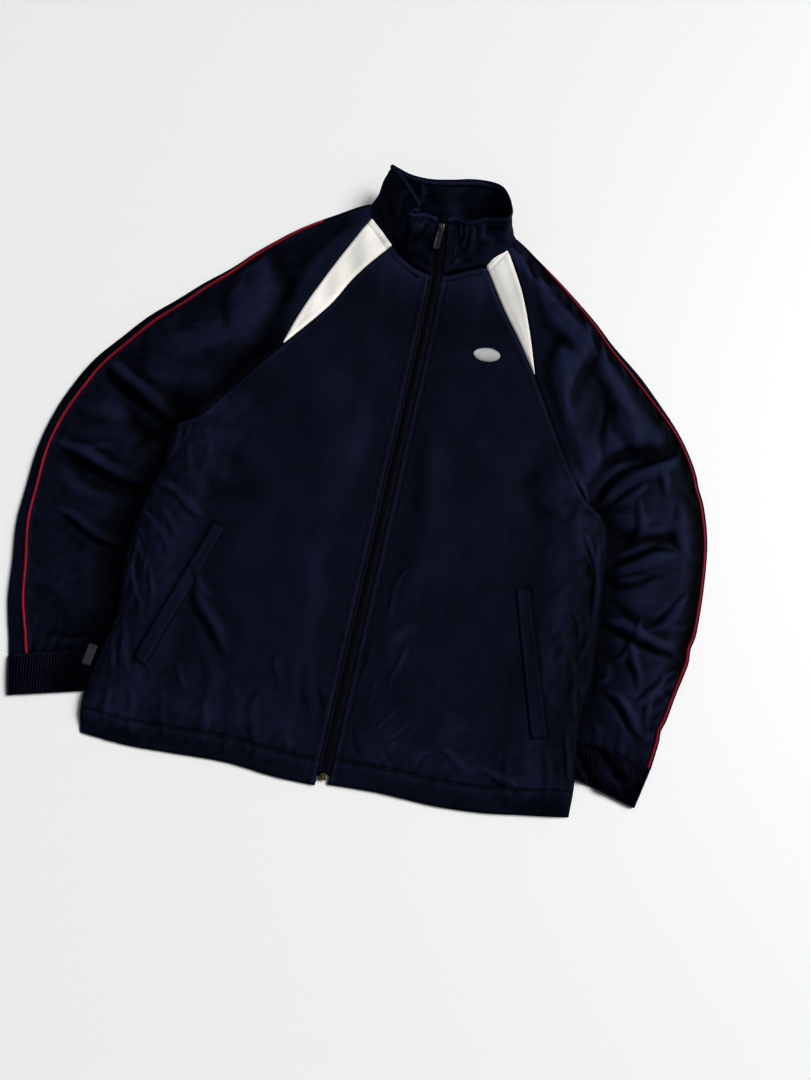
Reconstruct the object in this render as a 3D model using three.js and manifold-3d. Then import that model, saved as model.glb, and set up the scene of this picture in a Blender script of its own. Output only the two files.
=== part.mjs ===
// Track jacket laid flat with its front up, in millimetres.
// +X is the viewer's right (the wearer's left), +Y runs up the zip to the collar, +Z is up.
// The origin is on the centre front, half way from neck seam to hem, on the surface under the back.
import * as THREE from 'three';
import { mergeVertices } from 'three/addons/utils/BufferGeometryUtils.js';
import Module from 'manifold-3d';

// Thicknesses and gaps
const CLOTH = 1.4;
const RIB = 1.8;
const COLLAR_CLOTH = 2.6;
const SEAM_GAP = 0.3;
const LAYER_STEP = CLOTH + SEAM_GAP;
const GROUND = CLOTH / 2;

// How the layers lie on each other
const BODY_LIFT = 6.0;
const LIFT_FLAT = 50;
const LIFT_END = 95;
const BODY_AIR = 1.3;
const SLEEVE_DEPTH = 5.4;
const CUFF_TURN = 1.7;
const UNDERARM_SOFT = 58;
const SETTLE = 55;
const UNDERARM_SHARE = 0.045;
const NECK_RISE = 8.5;
const NECK_CENTRE = { x: -7, y: 410, radius: 84 };

// Zip
const CHAIN_WIDTH = 6.0;
const CHAIN_DEPTH = 2.2;
const TAPE_DEPTH = 1.2;
const ZIP_HALF = 7.5;
const HEM_Y = -331;
const ZIP_START = HEM_Y + 14.5;

// Trims
const PIPING_RADIUS = 1.5;
const WELT_DEPTH = 1.3;
const TAB = { width: 11, length: 25, depth: 1.2, x: -308.5, y: -241, turn: -0.1 };
const SLIDER = { width: 8, length: 11, plate: 1.6, leg: 1.3, legY: 3.4, rise: 2.6, bar: 1.0, share: 0.45 };
const PULL = { width: 7, length: 27, eye: 5.8, bar: 1.3, window: 3.4, windowLength: 5.2,
  height: 1.3, droop: 0.052, turn: -0.14 };
const BOX = { width: 7.4, length: 8, depth: 3.4 };

const COLOUR = { navy: 0x10141f, white: 0xe9e6df, red: 0x8c1f30, rib: 0x0c0f18, coil: 0x0b0c10,
  gunmetal: 0x3a3b40, brass: 0x6e5c3a, silver: 0x9a9da3 };

/** Turns rows of numbers into rows with named columns. */
function table(columns, ...rows) {
  const names = columns.split(' ');
  return rows.map((row) => Object.fromEntries(names.map((name, i) => [name, row[i]])));
}

// Side folds of the body, from hem to underarm
const SIDE_FOLD = {
  right: table('x y', [-295, -330], [-301, -300], [-298, -244], [-290, -185], [-299, -130],
    [-300, -85], [-293, -29], [-284, 6], [-287, 32], [-281, 63]),
  left: table('x y', [281, -307], [280, -264], [275, -205], [281, -140], [279, -80],
    [277, -30], [275, 13], [269, 37], [258, 55]),
};

// Front raglan seams, from underarm to neck, parted at the insert's tip
const RAGLAN = {
  right: {
    lower: table('x y', [-281, 63], [-257, 76], [-214, 142], [-178, 191]),
    insertBody: table('x y', [-178, 191], [-129, 259], [-106, 304], [-67, 354]),
    insertSleeve: table('x y', [-178, 191], [-165, 241], [-136, 317], [-102, 389]),
    back: table('x y', [-281, 63], [-243, 84], [-170, 200], [-112, 316], [-78, 394]),
  },
  left: {
    lower: table('x y', [258, 55], [236, 69], [194, 136], [150, 215]),
    insertBody: table('x y', [150, 215], [122, 258], [95, 296], [60, 350]),
    insertSleeve: table('x y', [150, 215], [132, 275], [112, 328], [80, 386]),
    back: table('x y', [258, 55], [222, 78], [146, 203], [92, 316], [60, 392]),
  },
};

// Neck edges of the panels: front from insert to zip, back from side to side
const NECK_FRONT = {
  right: table('x y', [-67, 354], [-50, 340], [-28, 329], [-10, 325]),
  left: table('x y', [60, 350], [40, 341], [20, 332], [5.5, 327]),
};
const NECK_BACK = table('x y', [-78, 394], [-50, 386], [-8, 383], [32, 385], [60, 392]);

// Hem edges, from side to zip
const HEM = {
  right: table('x y', [-295, -330], [-236, -333], [-188, -331], [-119, -328], [-60, -332], [-13, -332]),
  left: table('x y', [281, -307], [223, -316], [185, -322], [130, -326], [60, -325], [3, -328]),
};

// Sleeves, from neck and underarm to cuff: the inner fold, the outer fold, and the piping's distance in
const SLEEVE = {
  right: table('innerX innerY outerX outerY piping',
    [-280.5, 62.5, -112, 416, 4], [-280, 35, -196, 360, 4], [-276, 5, -273, 284, 5],
    [-271, -30, -362, 190, 9.5], [-272, -65, -412, 122, 12], [-266, -100, -442, 33, 14.5],
    [-265, -130, -447, -49, 12.5], [-270, -165, -439, -126, 14], [-283, -200, -424, -198, 18],
    [-299, -231, -404, -262, 21]),
  left: table('innerX innerY outerX outerY piping',
    [258, 54.5, 91, 406, 4], [263, 30, 164, 351, 4], [262, 3, 236, 287, 5.5],
    [257, -28, 308, 217, 9], [252, -55, 362, 147, 5], [242, -85, 391, 60, 5],
    [239, -115, 398, -20, 4], [243, -145, 392, -95, 4], [252, -180, 380, -160, 4],
    [268, -214, 365, -235, 4]),
};

// Cuff ends
const CUFF_END = {
  right: { innerX: -297, innerY: -281, outerX: -391, outerY: -306 },
  left: { innerX: 270, innerY: -260, outerX: 353, outerY: -281 },
};

// Largest folds of the sleeves, as soft ridges from end to end
const SLEEVE_FOLDS = {
  right: table('x0 y0 x1 y1 width height', [-380, 138, -300, 90, 16, 4], [-419, 18, -311, -12, 14, 3],
    [-420, 8, -330, 60, 18, 3], [-394, -76, -313, -105, 12, 2.5], [-250, 250, -330, 120, 30, 3.5]),
  left: table('x0 y0 x1 y1 width height', [286, 12, 357, 45, 10, 6], [256, 60, 326, 134, 22, 4],
    [290, -17, 338, 2, 9, 4], [285, -66, 345, -76, 12, 4], [150, 300, 250, 190, 26, 3.5]),
};

// Collar, from the zip's right edge round the back to its left edge: neck seam and top edge
const COLLAR = table('neckX neckY neckZ topX topY topZ',
  [-11, 327, 13, -15, 389, 44], [-22, 330, 14, -30, 391, 45], [-33, 334, 15, -40, 388, 46],
  [-43, 338, 15.5, -49, 387, 47.5], [-50, 342.5, 15.5, -46.5, 391.5, 49],
  [-57, 348, 15.5, -39, 395, 50], [-64, 353.5, 15.5, -41, 402, 50.5], [-72, 361, 15.5, -49, 414, 50],
  [-83, 373, 14.5, -59, 426, 49], [-94, 389, 12.5, -71, 439, 46], [-102, 402, 10, -82, 450, 43],
  [-102, 410, 7.5, -87, 455, 40], [-92, 405, 5, -79, 452, 39.5], [-74, 398, 4, -61, 446, 39.5],
  [-42, 391, 3.6, -35, 444, 40], [-8, 388.5, 3.6, -7, 448, 41], [30, 391, 3.6, 21, 453, 43],
  [58, 397, 4.2, 45, 452, 46], [72, 401.5, 5, 59, 446, 50], [80, 403.5, 7, 68, 434, 54],
  [84, 401, 10, 75, 418, 58], [83, 394, 12.5, 78, 405, 60], [79, 384, 14, 75, 398, 60],
  [70, 370, 15, 61, 395, 56.5], [58, 355, 15.5, 46, 394, 53.5], [47, 347.5, 15.5, 35, 390, 51],
  [37, 343, 15, 25, 387, 49], [27, 339, 14.5, 16, 390, 47.5], [16, 334, 14, 7, 392, 46.5],
  [6.5, 329, 13, 0.5, 390, 45]);

// Pocket welts: opening edge and stitched edge, from top to bottom
const WELT = {
  right: table('openX openY sewnX sewnY', [-203, -55, -188, -59], [-228, -142, -213, -150],
    [-253, -232, -238, -241]),
  left: table('openX openY sewnX sewnY', [189, -55, 174, -61], [214, -139, 197, -144],
    [240, -225, 221, -229]),
};

// Shares of the panels' lengths where their grid lines lie
const SIDE_SHARES = [0, 0.05, 0.1, 0.19, 0.29, 0.4, 0.51, 0.62, 0.73, 0.82, 0.88, 0.94, 1];
const HEM_SHARES = [0, 0.03, 0.1, 0.178, 0.26, 0.338, 0.43, 0.52, 0.61, 0.7, 0.78, 0.85, 0.9, 0.95, 1];
const BACK_HEM_SHARES = [0, 0.04, 0.087, 0.127, 0.165, 0.23, 0.3, 0.37, 0.42, 0.465, 0.5];
const SLEEVE_SHARES = [0, 0.04, 0.09, 0.15, 0.21, 0.27, 0.33, 0.4, 0.47, 0.54, 0.61, 0.68, 0.75, 0.82,
  0.88, 0.94, 1];
const LOWER_PARTS = 4;
const INSERT_PARTS = 6;
const NECK_PARTS = 4;
const BACK_RAGLAN_PARTS = 7;
const TURN_PARTS = 4;

const mix = THREE.MathUtils.lerp;
const even = (parts) => Array.from({ length: parts + 1 }, (_, i) => i / parts);

/** A value that rises softly from 0 at start to 1 at end. */
function ramp(value, start, end) {
  const t = THREE.MathUtils.clamp((value - start) / (end - start), 0, 1);
  return t * t * (3 - 2 * t);
}

/** Points at the given shares of the length of a smooth curve through the rows. */
function along(rows, shares, x = 'x', y = 'y') {
  const curve = new THREE.CatmullRomCurve3(rows.map((row) => new THREE.Vector3(row[x], row[y], 0)));
  curve.arcLengthDivisions = 800;
  return shares.map((share) => curve.getPointAt(share));
}

/** A plan line moved sideways, to the left of its run. */
function shifted(line, distance) {
  return line.map((point, i) => {
    const before = line[Math.max(i - 1, 0)];
    const after = line[Math.min(i + 1, line.length - 1)];
    const run = new THREE.Vector3().subVectors(after, before).setZ(0).normalize();
    return new THREE.Vector3(point.x - run.y * distance, point.y + run.x * distance, point.z);
  });
}

/** The share of a line's length at each of its points. */
function sharesOf(line) {
  const lengths = [0];
  for (let i = 1; i < line.length; i += 1) lengths.push(lengths[i - 1] + line[i].distanceTo(line[i - 1]));
  return lengths.map((length) => length / lengths.at(-1));
}

/** A grid of plan points filled in between four edges that share their corners. */
function fill(bottom, top, left, right) {
  const shares = [bottom, top, left, right].map(sharesOf);
  return left.map((leftPoint, j) => bottom.map((bottomPoint, i) => {
    const v = mix(shares[2][j], shares[3][j], i / (bottom.length - 1));
    const u = mix(shares[0][i], shares[1][i], j / (left.length - 1));
    const point = new THREE.Vector3();
    point.addScaledVector(bottomPoint, 1 - v).addScaledVector(top[i], v);
    point.addScaledVector(leftPoint, 1 - u).addScaledVector(right[j], u);
    point.addScaledVector(bottom[0], -(1 - u) * (1 - v)).addScaledVector(bottom.at(-1), -u * (1 - v));
    point.addScaledVector(top[0], -(1 - u) * v).addScaledVector(top.at(-1), -u * v);
    return point;
  }));
}

/** Gives every point of a plan grid its height. */
function raise(grid, height) {
  return grid.map((row) => row.map((point) => point.clone().setZ(height(point.x, point.y))));
}

/** The direction across a grid at one of its points. */
function normalAt(grid, j, i, round) {
  const count = grid[j].length;
  const before = round ? grid[j][(i + count - 1) % count] : grid[j][Math.max(i - 1, 0)];
  const after = round ? grid[j][(i + 1) % count] : grid[j][Math.min(i + 1, count - 1)];
  const run = new THREE.Vector3().subVectors(after, before);
  const rise = new THREE.Vector3().subVectors(grid[Math.min(j + 1, grid.length - 1)][i],
    grid[Math.max(j - 1, 0)][i]);
  return run.cross(rise).normalize();
}

/** A closed cloth wall of even thickness, half of it on each side of a grid of points. */
function wall(grid, thickness, round = false) {
  const rows = grid.length;
  const count = grid[0].length;
  const positions = [];
  for (const side of [0.5, -0.5]) {
    grid.forEach((row, j) => row.forEach((point, i) => {
      const moved = point.clone().addScaledVector(normalAt(grid, j, i, round), side * thickness);
      positions.push(moved.x, moved.y, moved.z);
    }));
  }
  const over = (j, i) => j * count + (i % count);
  const under = (j, i) => rows * count + over(j, i);
  const faces = [];
  const quad = (a, b, c, d) => faces.push(a, b, c, a, c, d);
  const spans = round ? count : count - 1;
  for (let j = 0; j < rows - 1; j += 1) {
    for (let i = 0; i < spans; i += 1) {
      quad(over(j, i), over(j, i + 1), over(j + 1, i + 1), over(j + 1, i));
      quad(under(j, i), under(j + 1, i), under(j + 1, i + 1), under(j, i + 1));
    }
    if (!round) {
      quad(under(j, 0), over(j, 0), over(j + 1, 0), under(j + 1, 0));
      quad(over(j, spans), under(j, spans), under(j + 1, spans), over(j + 1, spans));
    }
  }
  for (let i = 0; i < spans; i += 1) {
    quad(under(0, i), under(0, i + 1), over(0, i + 1), over(0, i));
    quad(over(rows - 1, i), over(rows - 1, i + 1), under(rows - 1, i + 1), under(rows - 1, i));
  }
  const geometry = new THREE.BufferGeometry();
  geometry.setAttribute('position', new THREE.Float32BufferAttribute(positions, 3));
  geometry.setIndex(faces);
  return geometry;
}

/** Where a side fold lies at a height along the jacket. */
function foldX(rows, y) {
  for (let i = 1; i < rows.length; i += 1) {
    if (y <= rows[i].y) {
      return mix(rows[i - 1].x, rows[i].x, THREE.MathUtils.clamp(
        (y - rows[i - 1].y) / (rows[i].y - rows[i - 1].y), 0, 1));
    }
  }
  return rows.at(-1).x;
}

/** How far inside the nearer side fold a place on the body lies, and which fold that is. */
function fromSide(x, y) {
  const side = x < 0 ? 'right' : 'left';
  return { side, inside: Math.abs(x - foldX(SIDE_FOLD[side], y)) };
}

/** How far out a place on a sleeve is from the body that lies on it, from 0 under it to 1 well clear. */
function clearOfBody(side, point) {
  const underarm = SIDE_FOLD[side].at(-1);
  const out = Math.max(Math.abs(point.x) - Math.abs(foldX(SIDE_FOLD[side], point.y)), 0);
  const up = Math.max(point.y - underarm.y, 0);
  return ramp(Math.hypot(up > 0 ? point.x - underarm.x : out, up * 0.7), 5, UNDERARM_SOFT);
}

/** Height of the lower layer, which climbs over the sleeves at the sides. */
function lowerHeight(x, y) {
  const { side, inside } = fromSide(x, y);
  const underarm = SIDE_FOLD[side].at(-1).y;
  const hem = SIDE_FOLD[side][0].y;
  const overSleeve = (1 - ramp(y, underarm + 15, underarm + 80)) * ramp(y, hem, hem + 34);
  return GROUND + BODY_LIFT * (1 - ramp(inside, LIFT_FLAT, LIFT_END)) * overSleeve;
}

/** How much the open neck raises the upper layer. */
function neckRise(x, y) {
  const away = Math.max(Math.hypot(x - NECK_CENTRE.x, y - NECK_CENTRE.y) - NECK_CENTRE.radius, 0);
  const side = THREE.MathUtils.clamp((430 - y) / 60, 0.3, 1);
  return NECK_RISE * Math.exp(-((away / 48) ** 2)) * side;
}

/** Height of the upper layer, which lies on the lower one with a little air between. */
function upperHeight(x, y) {
  const { side, inside } = fromSide(x, y);
  const belowArm = 1 - ramp(y, SIDE_FOLD[side].at(-1).y, SIDE_FOLD[side].at(-1).y + 40);
  const nearFold = (1 - ramp(inside, 0, 14)) * belowArm;
  return lowerHeight(x, y) + LAYER_STEP + BODY_AIR * (1 - nearFold) + neckRise(x, y);
}

/** The three parts of a front raglan seam as plan lines, shared by the pieces on both sides. */
function raglanLines(side) {
  const seam = RAGLAN[side];
  return {
    lower: along(seam.lower, even(LOWER_PARTS)),
    insertBody: along(seam.insertBody, even(INSERT_PARTS)),
    insertSleeve: along(seam.insertSleeve, even(INSERT_PARTS)),
    back: along(seam.back, even(BACK_RAGLAN_PARTS)),
  };
}

const turned = { right: 1, left: -1 };
const HALF_GAP = SEAM_GAP / 2;

/** Zip centre in plan at a height along the jacket. */
function zipX(y) {
  return mix(-5, -2, ramp(y, HEM_Y, 330)) - 5.5 * ramp(y, 325, 392);
}

/** Grid of a front panel: side fold, hem, zip edge, and raglan and neck along its top. */
function frontGrid(side) {
  const lines = raglanLines(side);
  const raglan = [...lines.lower, ...lines.insertBody.slice(1)];
  const neck = along(NECK_FRONT[side], even(NECK_PARTS));
  const top = [...shifted(raglan, -turned[side] * HALF_GAP), ...neck.slice(1)];
  const bottom = along(HEM[side], HEM_SHARES);
  const fold = along(SIDE_FOLD[side], SIDE_SHARES);
  fold[fold.length - 1] = top[0];
  const zipEdge = even(SIDE_SHARES.length - 1).map((_, j) => {
    const y = mix(bottom.at(-1).y, top.at(-1).y, SIDE_SHARES[j]);
    return new THREE.Vector3(zipX(y) - turned[side] * ZIP_HALF, y, 0);
  });
  bottom[bottom.length - 1] = zipEdge[0];
  top[top.length - 1] = zipEdge.at(-1);
  return raise(fill(bottom, top, fold, zipEdge), upperHeight);
}

/** Grid of the back panel. */
function backGrid() {
  const rightSeam = shifted(raglanLines('right').back, -HALF_GAP);
  const leftSeam = shifted(raglanLines('left').back, HALF_GAP).reverse();
  const neck = along(NECK_BACK, even(6));
  const top = [...rightSeam, ...neck.slice(1, -1), ...leftSeam];
  const rightHem = along(HEM.right, BACK_HEM_SHARES.map((share) => share * 2));
  const leftHem = along(HEM.left, BACK_HEM_SHARES.map((share) => share * 2)).reverse();
  const middle = new THREE.Vector3().addVectors(rightHem.at(-1), leftHem[0]).multiplyScalar(0.5);
  const bottom = [...rightHem.slice(0, -1), middle, ...leftHem.slice(1)];
  const right = along(SIDE_FOLD.right, SIDE_SHARES);
  const left = along(SIDE_FOLD.left, SIDE_SHARES);
  right[right.length - 1] = top[0];
  left[left.length - 1] = top.at(-1);
  return raise(fill(bottom, top, right, left), lowerHeight);
}

/** Grid of a white insert, narrow at its tip. */
function insertGrid(side) {
  const lines = raglanLines(side);
  const bodyEdge = shifted(lines.insertBody, turned[side] * HALF_GAP);
  const sleeveEdge = shifted(lines.insertSleeve, -turned[side] * HALF_GAP);
  const tip = bodyEdge[1].clone().sub(bodyEdge[0]).multiplyScalar(0.35);
  const tipWidth = 1.2;
  bodyEdge[0].add(tip);
  sleeveEdge[0].copy(bodyEdge[0]).add(new THREE.Vector3(-turned[side] * tipWidth, tipWidth * 0.4, 0));
  const grid = bodyEdge.map((point, j) => even(2).map((share) => point.clone().lerp(sleeveEdge[j], share)));
  return raise(grid, upperHeight);
}

/** Height that the sleeve's largest folds add at a place. */
function foldRise(side, x, y) {
  return SLEEVE_FOLDS[side].reduce((sum, fold) => {
    const start = new THREE.Vector2(fold.x0, fold.y0);
    const run = new THREE.Vector2(fold.x1, fold.y1).sub(start);
    const place = new THREE.Vector2(x, y).sub(start);
    const share = THREE.MathUtils.clamp(place.dot(run) / run.lengthSq(), 0, 1);
    const away = place.addScaledVector(run, -share).length();
    return sum + fold.height * Math.exp(-((away / fold.width) ** 2));
  }, 0);
}

/** Plan lines and fold sizes that both halves of a sleeve share. */
function sleeveLines(side) {
  const rows = SLEEVE[side];
  const inner = along(rows, SLEEVE_SHARES, 'innerX', 'innerY');
  const outer = along(rows, SLEEVE_SHARES, 'outerX', 'outerY');
  const outward = shifted(outer, -turned[side]).map((point, j) => point.sub(outer[j]));
  const piping = SLEEVE_SHARES.map((share) => {
    const place = share * (rows.length - 1);
    const row = Math.min(Math.floor(place), rows.length - 2);
    return mix(rows[row].piping, rows[row + 1].piping, place - row);
  });
  const depth = SLEEVE_SHARES.map((share) => mix(SLEEVE_DEPTH, 2 * CUFF_TURN + 0.4, ramp(share, 0.85, 1)));
  return { inner, outer, outward, piping, depth };
}

/** Plan rows of a sleeve, which follow its raglan seam at the top and run straight across lower down. */
function sleeveRows(start, inner, edge) {
  const shares = sharesOf(start);
  return inner.map((fold, j) => shares.map((share, i) => {
    const across = new THREE.Vector3().lerpVectors(fold, edge[j], share);
    const shaped = start[i].clone();
    shaped.addScaledVector(new THREE.Vector3().subVectors(fold, start[0]), Math.exp(-share / UNDERARM_SHARE));
    shaped.addScaledVector(new THREE.Vector3().subVectors(edge[j], start.at(-1)), share);
    const straight = i === 0 || i === shares.length - 1 ? 1 : ramp(SLEEVE_SHARES[j], 0, 0.35);
    return shaped.lerp(across, straight);
  }));
}

/** Grid of the front half of a sleeve, from the underarm fold to the piping. */
function sleeveFrontGrid(side) {
  const lines = sleeveLines(side);
  const seam = raglanLines(side);
  const edge = lines.outer.map((point, j) => point.clone().addScaledVector(
    lines.outward[j], -lines.piping[j] - HALF_GAP));
  const start = shifted([...seam.lower, ...seam.insertSleeve.slice(1)], turned[side] * HALF_GAP);
  start[0] = lines.inner[0];
  start.push(edge[0]);
  const grid = sleeveRows(start, lines.inner, edge);
  return grid.map((row, j) => row.map((point, i) => {
    const spread = clearOfBody(side, point);
    const rim = ramp(point.distanceTo(edge[j]), 0, 40) * spread * (1 - ramp(SLEEVE_SHARES[j], 0.85, 1));
    const own = GROUND + mix(LAYER_STEP, lines.depth[j], spread) + rim * foldRise(side, point.x, point.y);
    const seamPoint = grid[0][i];
    const joined = ramp(seamPoint.distanceTo(start[0]), 30, 85);
    const seamHeight = mix(GROUND + LAYER_STEP, upperHeight(seamPoint.x, seamPoint.y), joined);
    return point.clone().setZ(mix(seamHeight, own, ramp(point.distanceTo(seamPoint), 0, SETTLE)));
  }));
}

/** Grid of the back half of a sleeve: under the arm, round the outer fold and up to the piping. */
function sleeveBackGrid(side, front) {
  const lines = sleeveLines(side);
  const seam = raglanLines(side).back;
  const topEdge = front.map((row) => row.at(-1).z);
  const radius = topEdge.map((top) => (top - GROUND) / 2);
  const centre = lines.outer.map((point, j) => point.clone().addScaledVector(lines.outward[j], -radius[j]));
  const start = [...shifted(seam, turned[side] * HALF_GAP), centre[0]];
  start[0] = lines.inner[0];
  return sleeveRows(start, lines.inner, centre).map((row, j) => {
    const under = row.map((point) => point.clone().setZ(GROUND));
    const round = even(TURN_PARTS).slice(1).map((share) => {
      const angle = Math.PI * (share - 0.5);
      return centre[j].clone().addScaledVector(lines.outward[j], radius[j] * Math.cos(angle))
        .setZ(GROUND + radius[j] + radius[j] * Math.sin(angle));
    });
    const seamEdge = lines.outer[j].clone().addScaledVector(lines.outward[j], -lines.piping[j] + HALF_GAP);
    return [...under, ...round, seamEdge.setZ(topEdge[j])];
  });
}

/** A closed flat ring between two plan points, resting on the surface. */
function flatRing(inner, outer, turn, thickness) {
  const run = new THREE.Vector3().subVectors(outer, inner).setZ(0).normalize();
  const middle = thickness / 2 + turn;
  const flatParts = 6;
  const points = [];
  for (const [centre, way] of [[outer, 1], [inner, -1]]) {
    const hub = centre.clone().addScaledVector(run, -way * turn);
    for (const share of even(TURN_PARTS)) {
      const angle = Math.PI * (share - 0.5);
      points.push(hub.clone().addScaledVector(run, way * turn * Math.cos(angle))
        .setZ(middle + way * turn * Math.sin(angle)));
    }
    const next = (way > 0 ? inner : outer).clone().addScaledVector(run, way * turn);
    for (const share of even(flatParts).slice(1, -1)) {
      points.push(hub.clone().lerp(next, share).setZ(middle + way * turn));
    }
  }
  return points;
}

/** Grid of a rib cuff. */
function cuffGrid(side) {
  const seam = SLEEVE[side].at(-1);
  const end = CUFF_END[side];
  const startInner = new THREE.Vector3(seam.innerX, seam.innerY, 0);
  const startOuter = new THREE.Vector3(seam.outerX, seam.outerY, 0);
  const endInner = new THREE.Vector3(end.innerX, end.innerY, 0);
  const endOuter = new THREE.Vector3(end.outerX, end.outerY, 0);
  const firstShare = (SEAM_GAP + 0.1) / startOuter.distanceTo(endOuter);
  return [firstShare, 0.5, 1].map((share) => flatRing(
    startInner.clone().lerp(endInner, share), startOuter.clone().lerp(endOuter, share), CUFF_TURN, RIB));
}

/** Grid of the collar: its sections side by side, each from neck seam to top edge. */
function collarGrid() {
  return even(3).map((share) => COLLAR.map((row) => new THREE.Vector3(mix(row.neckX, row.topX, share),
    mix(row.neckY, row.topY, share), mix(row.neckZ, row.topZ, share) + 2.5 * Math.sin(Math.PI * share))));
}

/** Stations up the zip: plan centre and height, over the body and then up the collar. */
function zipStations() {
  const body = [...SIDE_SHARES.slice(0, -1), 0.97, 1].map((share) => {
    const y = mix(ZIP_START, 325, share);
    return new THREE.Vector3(zipX(y), y, upperHeight(zipX(y), y));
  });
  const foot = COLLAR[0];
  const collar = [0.12, 0.4, 0.7, 0.97].map((share) => {
    const y = mix(foot.neckY, foot.topY, share);
    return new THREE.Vector3(zipX(y), y, mix(foot.neckZ, foot.topZ, share) + 2.5 * Math.sin(Math.PI * share));
  });
  return [...body, ...collar];
}

/** Grid of a strip along the zip between two distances from its centre. */
function zipStrip(from, to, stations) {
  return stations.map((place) => [from, to].map((across) => place.clone().setX(place.x + across)));
}

/** Height of a grid's surface above a plan point. */
function heightOn(grid, x, y) {
  const place = new THREE.Vector3(x, y, 0);
  const share = new THREE.Vector3();
  for (let j = 0; j < grid.length - 1; j += 1) {
    for (let i = 0; i < grid[j].length - 1; i += 1) {
      const corners = [grid[j][i], grid[j][i + 1], grid[j + 1][i + 1], grid[j + 1][i]];
      for (const [a, b, c] of [[0, 1, 2], [0, 2, 3]]) {
        const flat = [a, b, c].map((k) => corners[k].clone().setZ(0));
        THREE.Triangle.getBarycoord(place, ...flat, share);
        if (Math.min(share.x, share.y, share.z) > -1e-6) {
          return share.x * corners[a].z + share.y * corners[b].z + share.z * corners[c].z;
        }
      }
    }
  }
  throw new Error('no surface under the point');
}

/** Grid of a pocket welt, lying on its front panel. */
function weltGrid(side, front) {
  const open = along(WELT[side], even(8), 'openX', 'openY');
  const sewn = along(WELT[side], even(8), 'sewnX', 'sewnY');
  const clear = CLOTH / 2 + WELT_DEPTH / 2 + SEAM_GAP + 0.15;
  return open.map((point, j) => even(2).map((share) => {
    const place = point.clone().lerp(sewn[j], share);
    return place.setZ(heightOn(front, place.x, place.y) + clear);
  }));
}

/** Piping: a round cord that lies along the seam of a sleeve's two halves. */
function pipingGeometry(side, front) {
  const outward = sleeveLines(side).outward;
  const path = new THREE.CatmullRomCurve3(front.map((row, j) => row.at(-1).clone()
    .addScaledVector(outward[j], HALF_GAP).add(new THREE.Vector3(0, 0, CLOTH / 2 + PIPING_RADIUS + SEAM_GAP))));
  const section = new THREE.Shape(even(6).slice(1).map((share) => new THREE.Vector2(
    PIPING_RADIUS * Math.cos(2 * Math.PI * share), PIPING_RADIUS * Math.sin(2 * Math.PI * share))));
  return new THREE.ExtrudeGeometry(section, { steps: 32, extrudePath: path, bevelEnabled: false });
}

const group = new THREE.Group();

/** Adds a piece with a material of its own. */
function add(name, geometry, colour, roughness, metalness = 0, parent = group) {
  const mesh = new THREE.Mesh(geometry, new THREE.MeshStandardMaterial({ color: colour, roughness, metalness }));
  mesh.name = name;
  parent.add(mesh);
  return mesh;
}

/** Sews one half of the jacket. */
function addSide(side) {
  const front = frontGrid(side);
  const sleeve = sleeveFrontGrid(side);
  add(`front_${side}`, wall(front, CLOTH), COLOUR.navy, 0.55);
  add(`insert_${side}`, wall(insertGrid(side), CLOTH), COLOUR.white, 0.6);
  add(`sleeve_front_${side}`, wall(sleeve, CLOTH), COLOUR.navy, 0.55);
  add(`sleeve_back_${side}`, wall(sleeveBackGrid(side, sleeve), CLOTH), COLOUR.navy, 0.55);
  add(`piping_${side}`, pipingGeometry(side, sleeve), COLOUR.red, 0.5);
  add(`cuff_${side}`, wall(cuffGrid(side), RIB, true), COLOUR.rib, 0.8);
  add(`welt_${side}`, wall(weltGrid(side, front), WELT_DEPTH), COLOUR.navy, 0.55);
  const inner = -turned[side] * (CHAIN_WIDTH / 2 + SEAM_GAP);
  const outer = -turned[side] * (ZIP_HALF - SEAM_GAP);
  add(`zip_tape_${side}`, wall(zipStrip(inner, outer, zipStations()), TAPE_DEPTH), COLOUR.coil, 0.7);
}

/** Joins closed geometries into one. */
async function join(geometries) {
  const wasm = await Module();
  wasm.setup();
  const solids = geometries.map((geometry) => {
    for (const name of ['normal', 'uv']) geometry.deleteAttribute(name);
    const merged = mergeVertices(geometry);
    return new wasm.Manifold(new wasm.Mesh({ numProp: 3,
      vertProperties: merged.attributes.position.array, triVerts: new Uint32Array(merged.index.array) }));
  });
  const mesh = solids.reduce((sum, solid) => sum.add(solid)).getMesh();
  const joined = new THREE.BufferGeometry();
  joined.setAttribute('position', new THREE.BufferAttribute(mesh.vertProperties, 3));
  joined.setIndex(new THREE.BufferAttribute(mesh.triVerts, 1));
  return joined;
}

/** A block between two corners. */
function block(x0, x1, y0, y1, z0, z1) {
  return new THREE.BoxGeometry(x1 - x0, y1 - y0, z1 - z0)
    .translate((x0 + x1) / 2, (y0 + y1) / 2, (z0 + z1) / 2);
}

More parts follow.
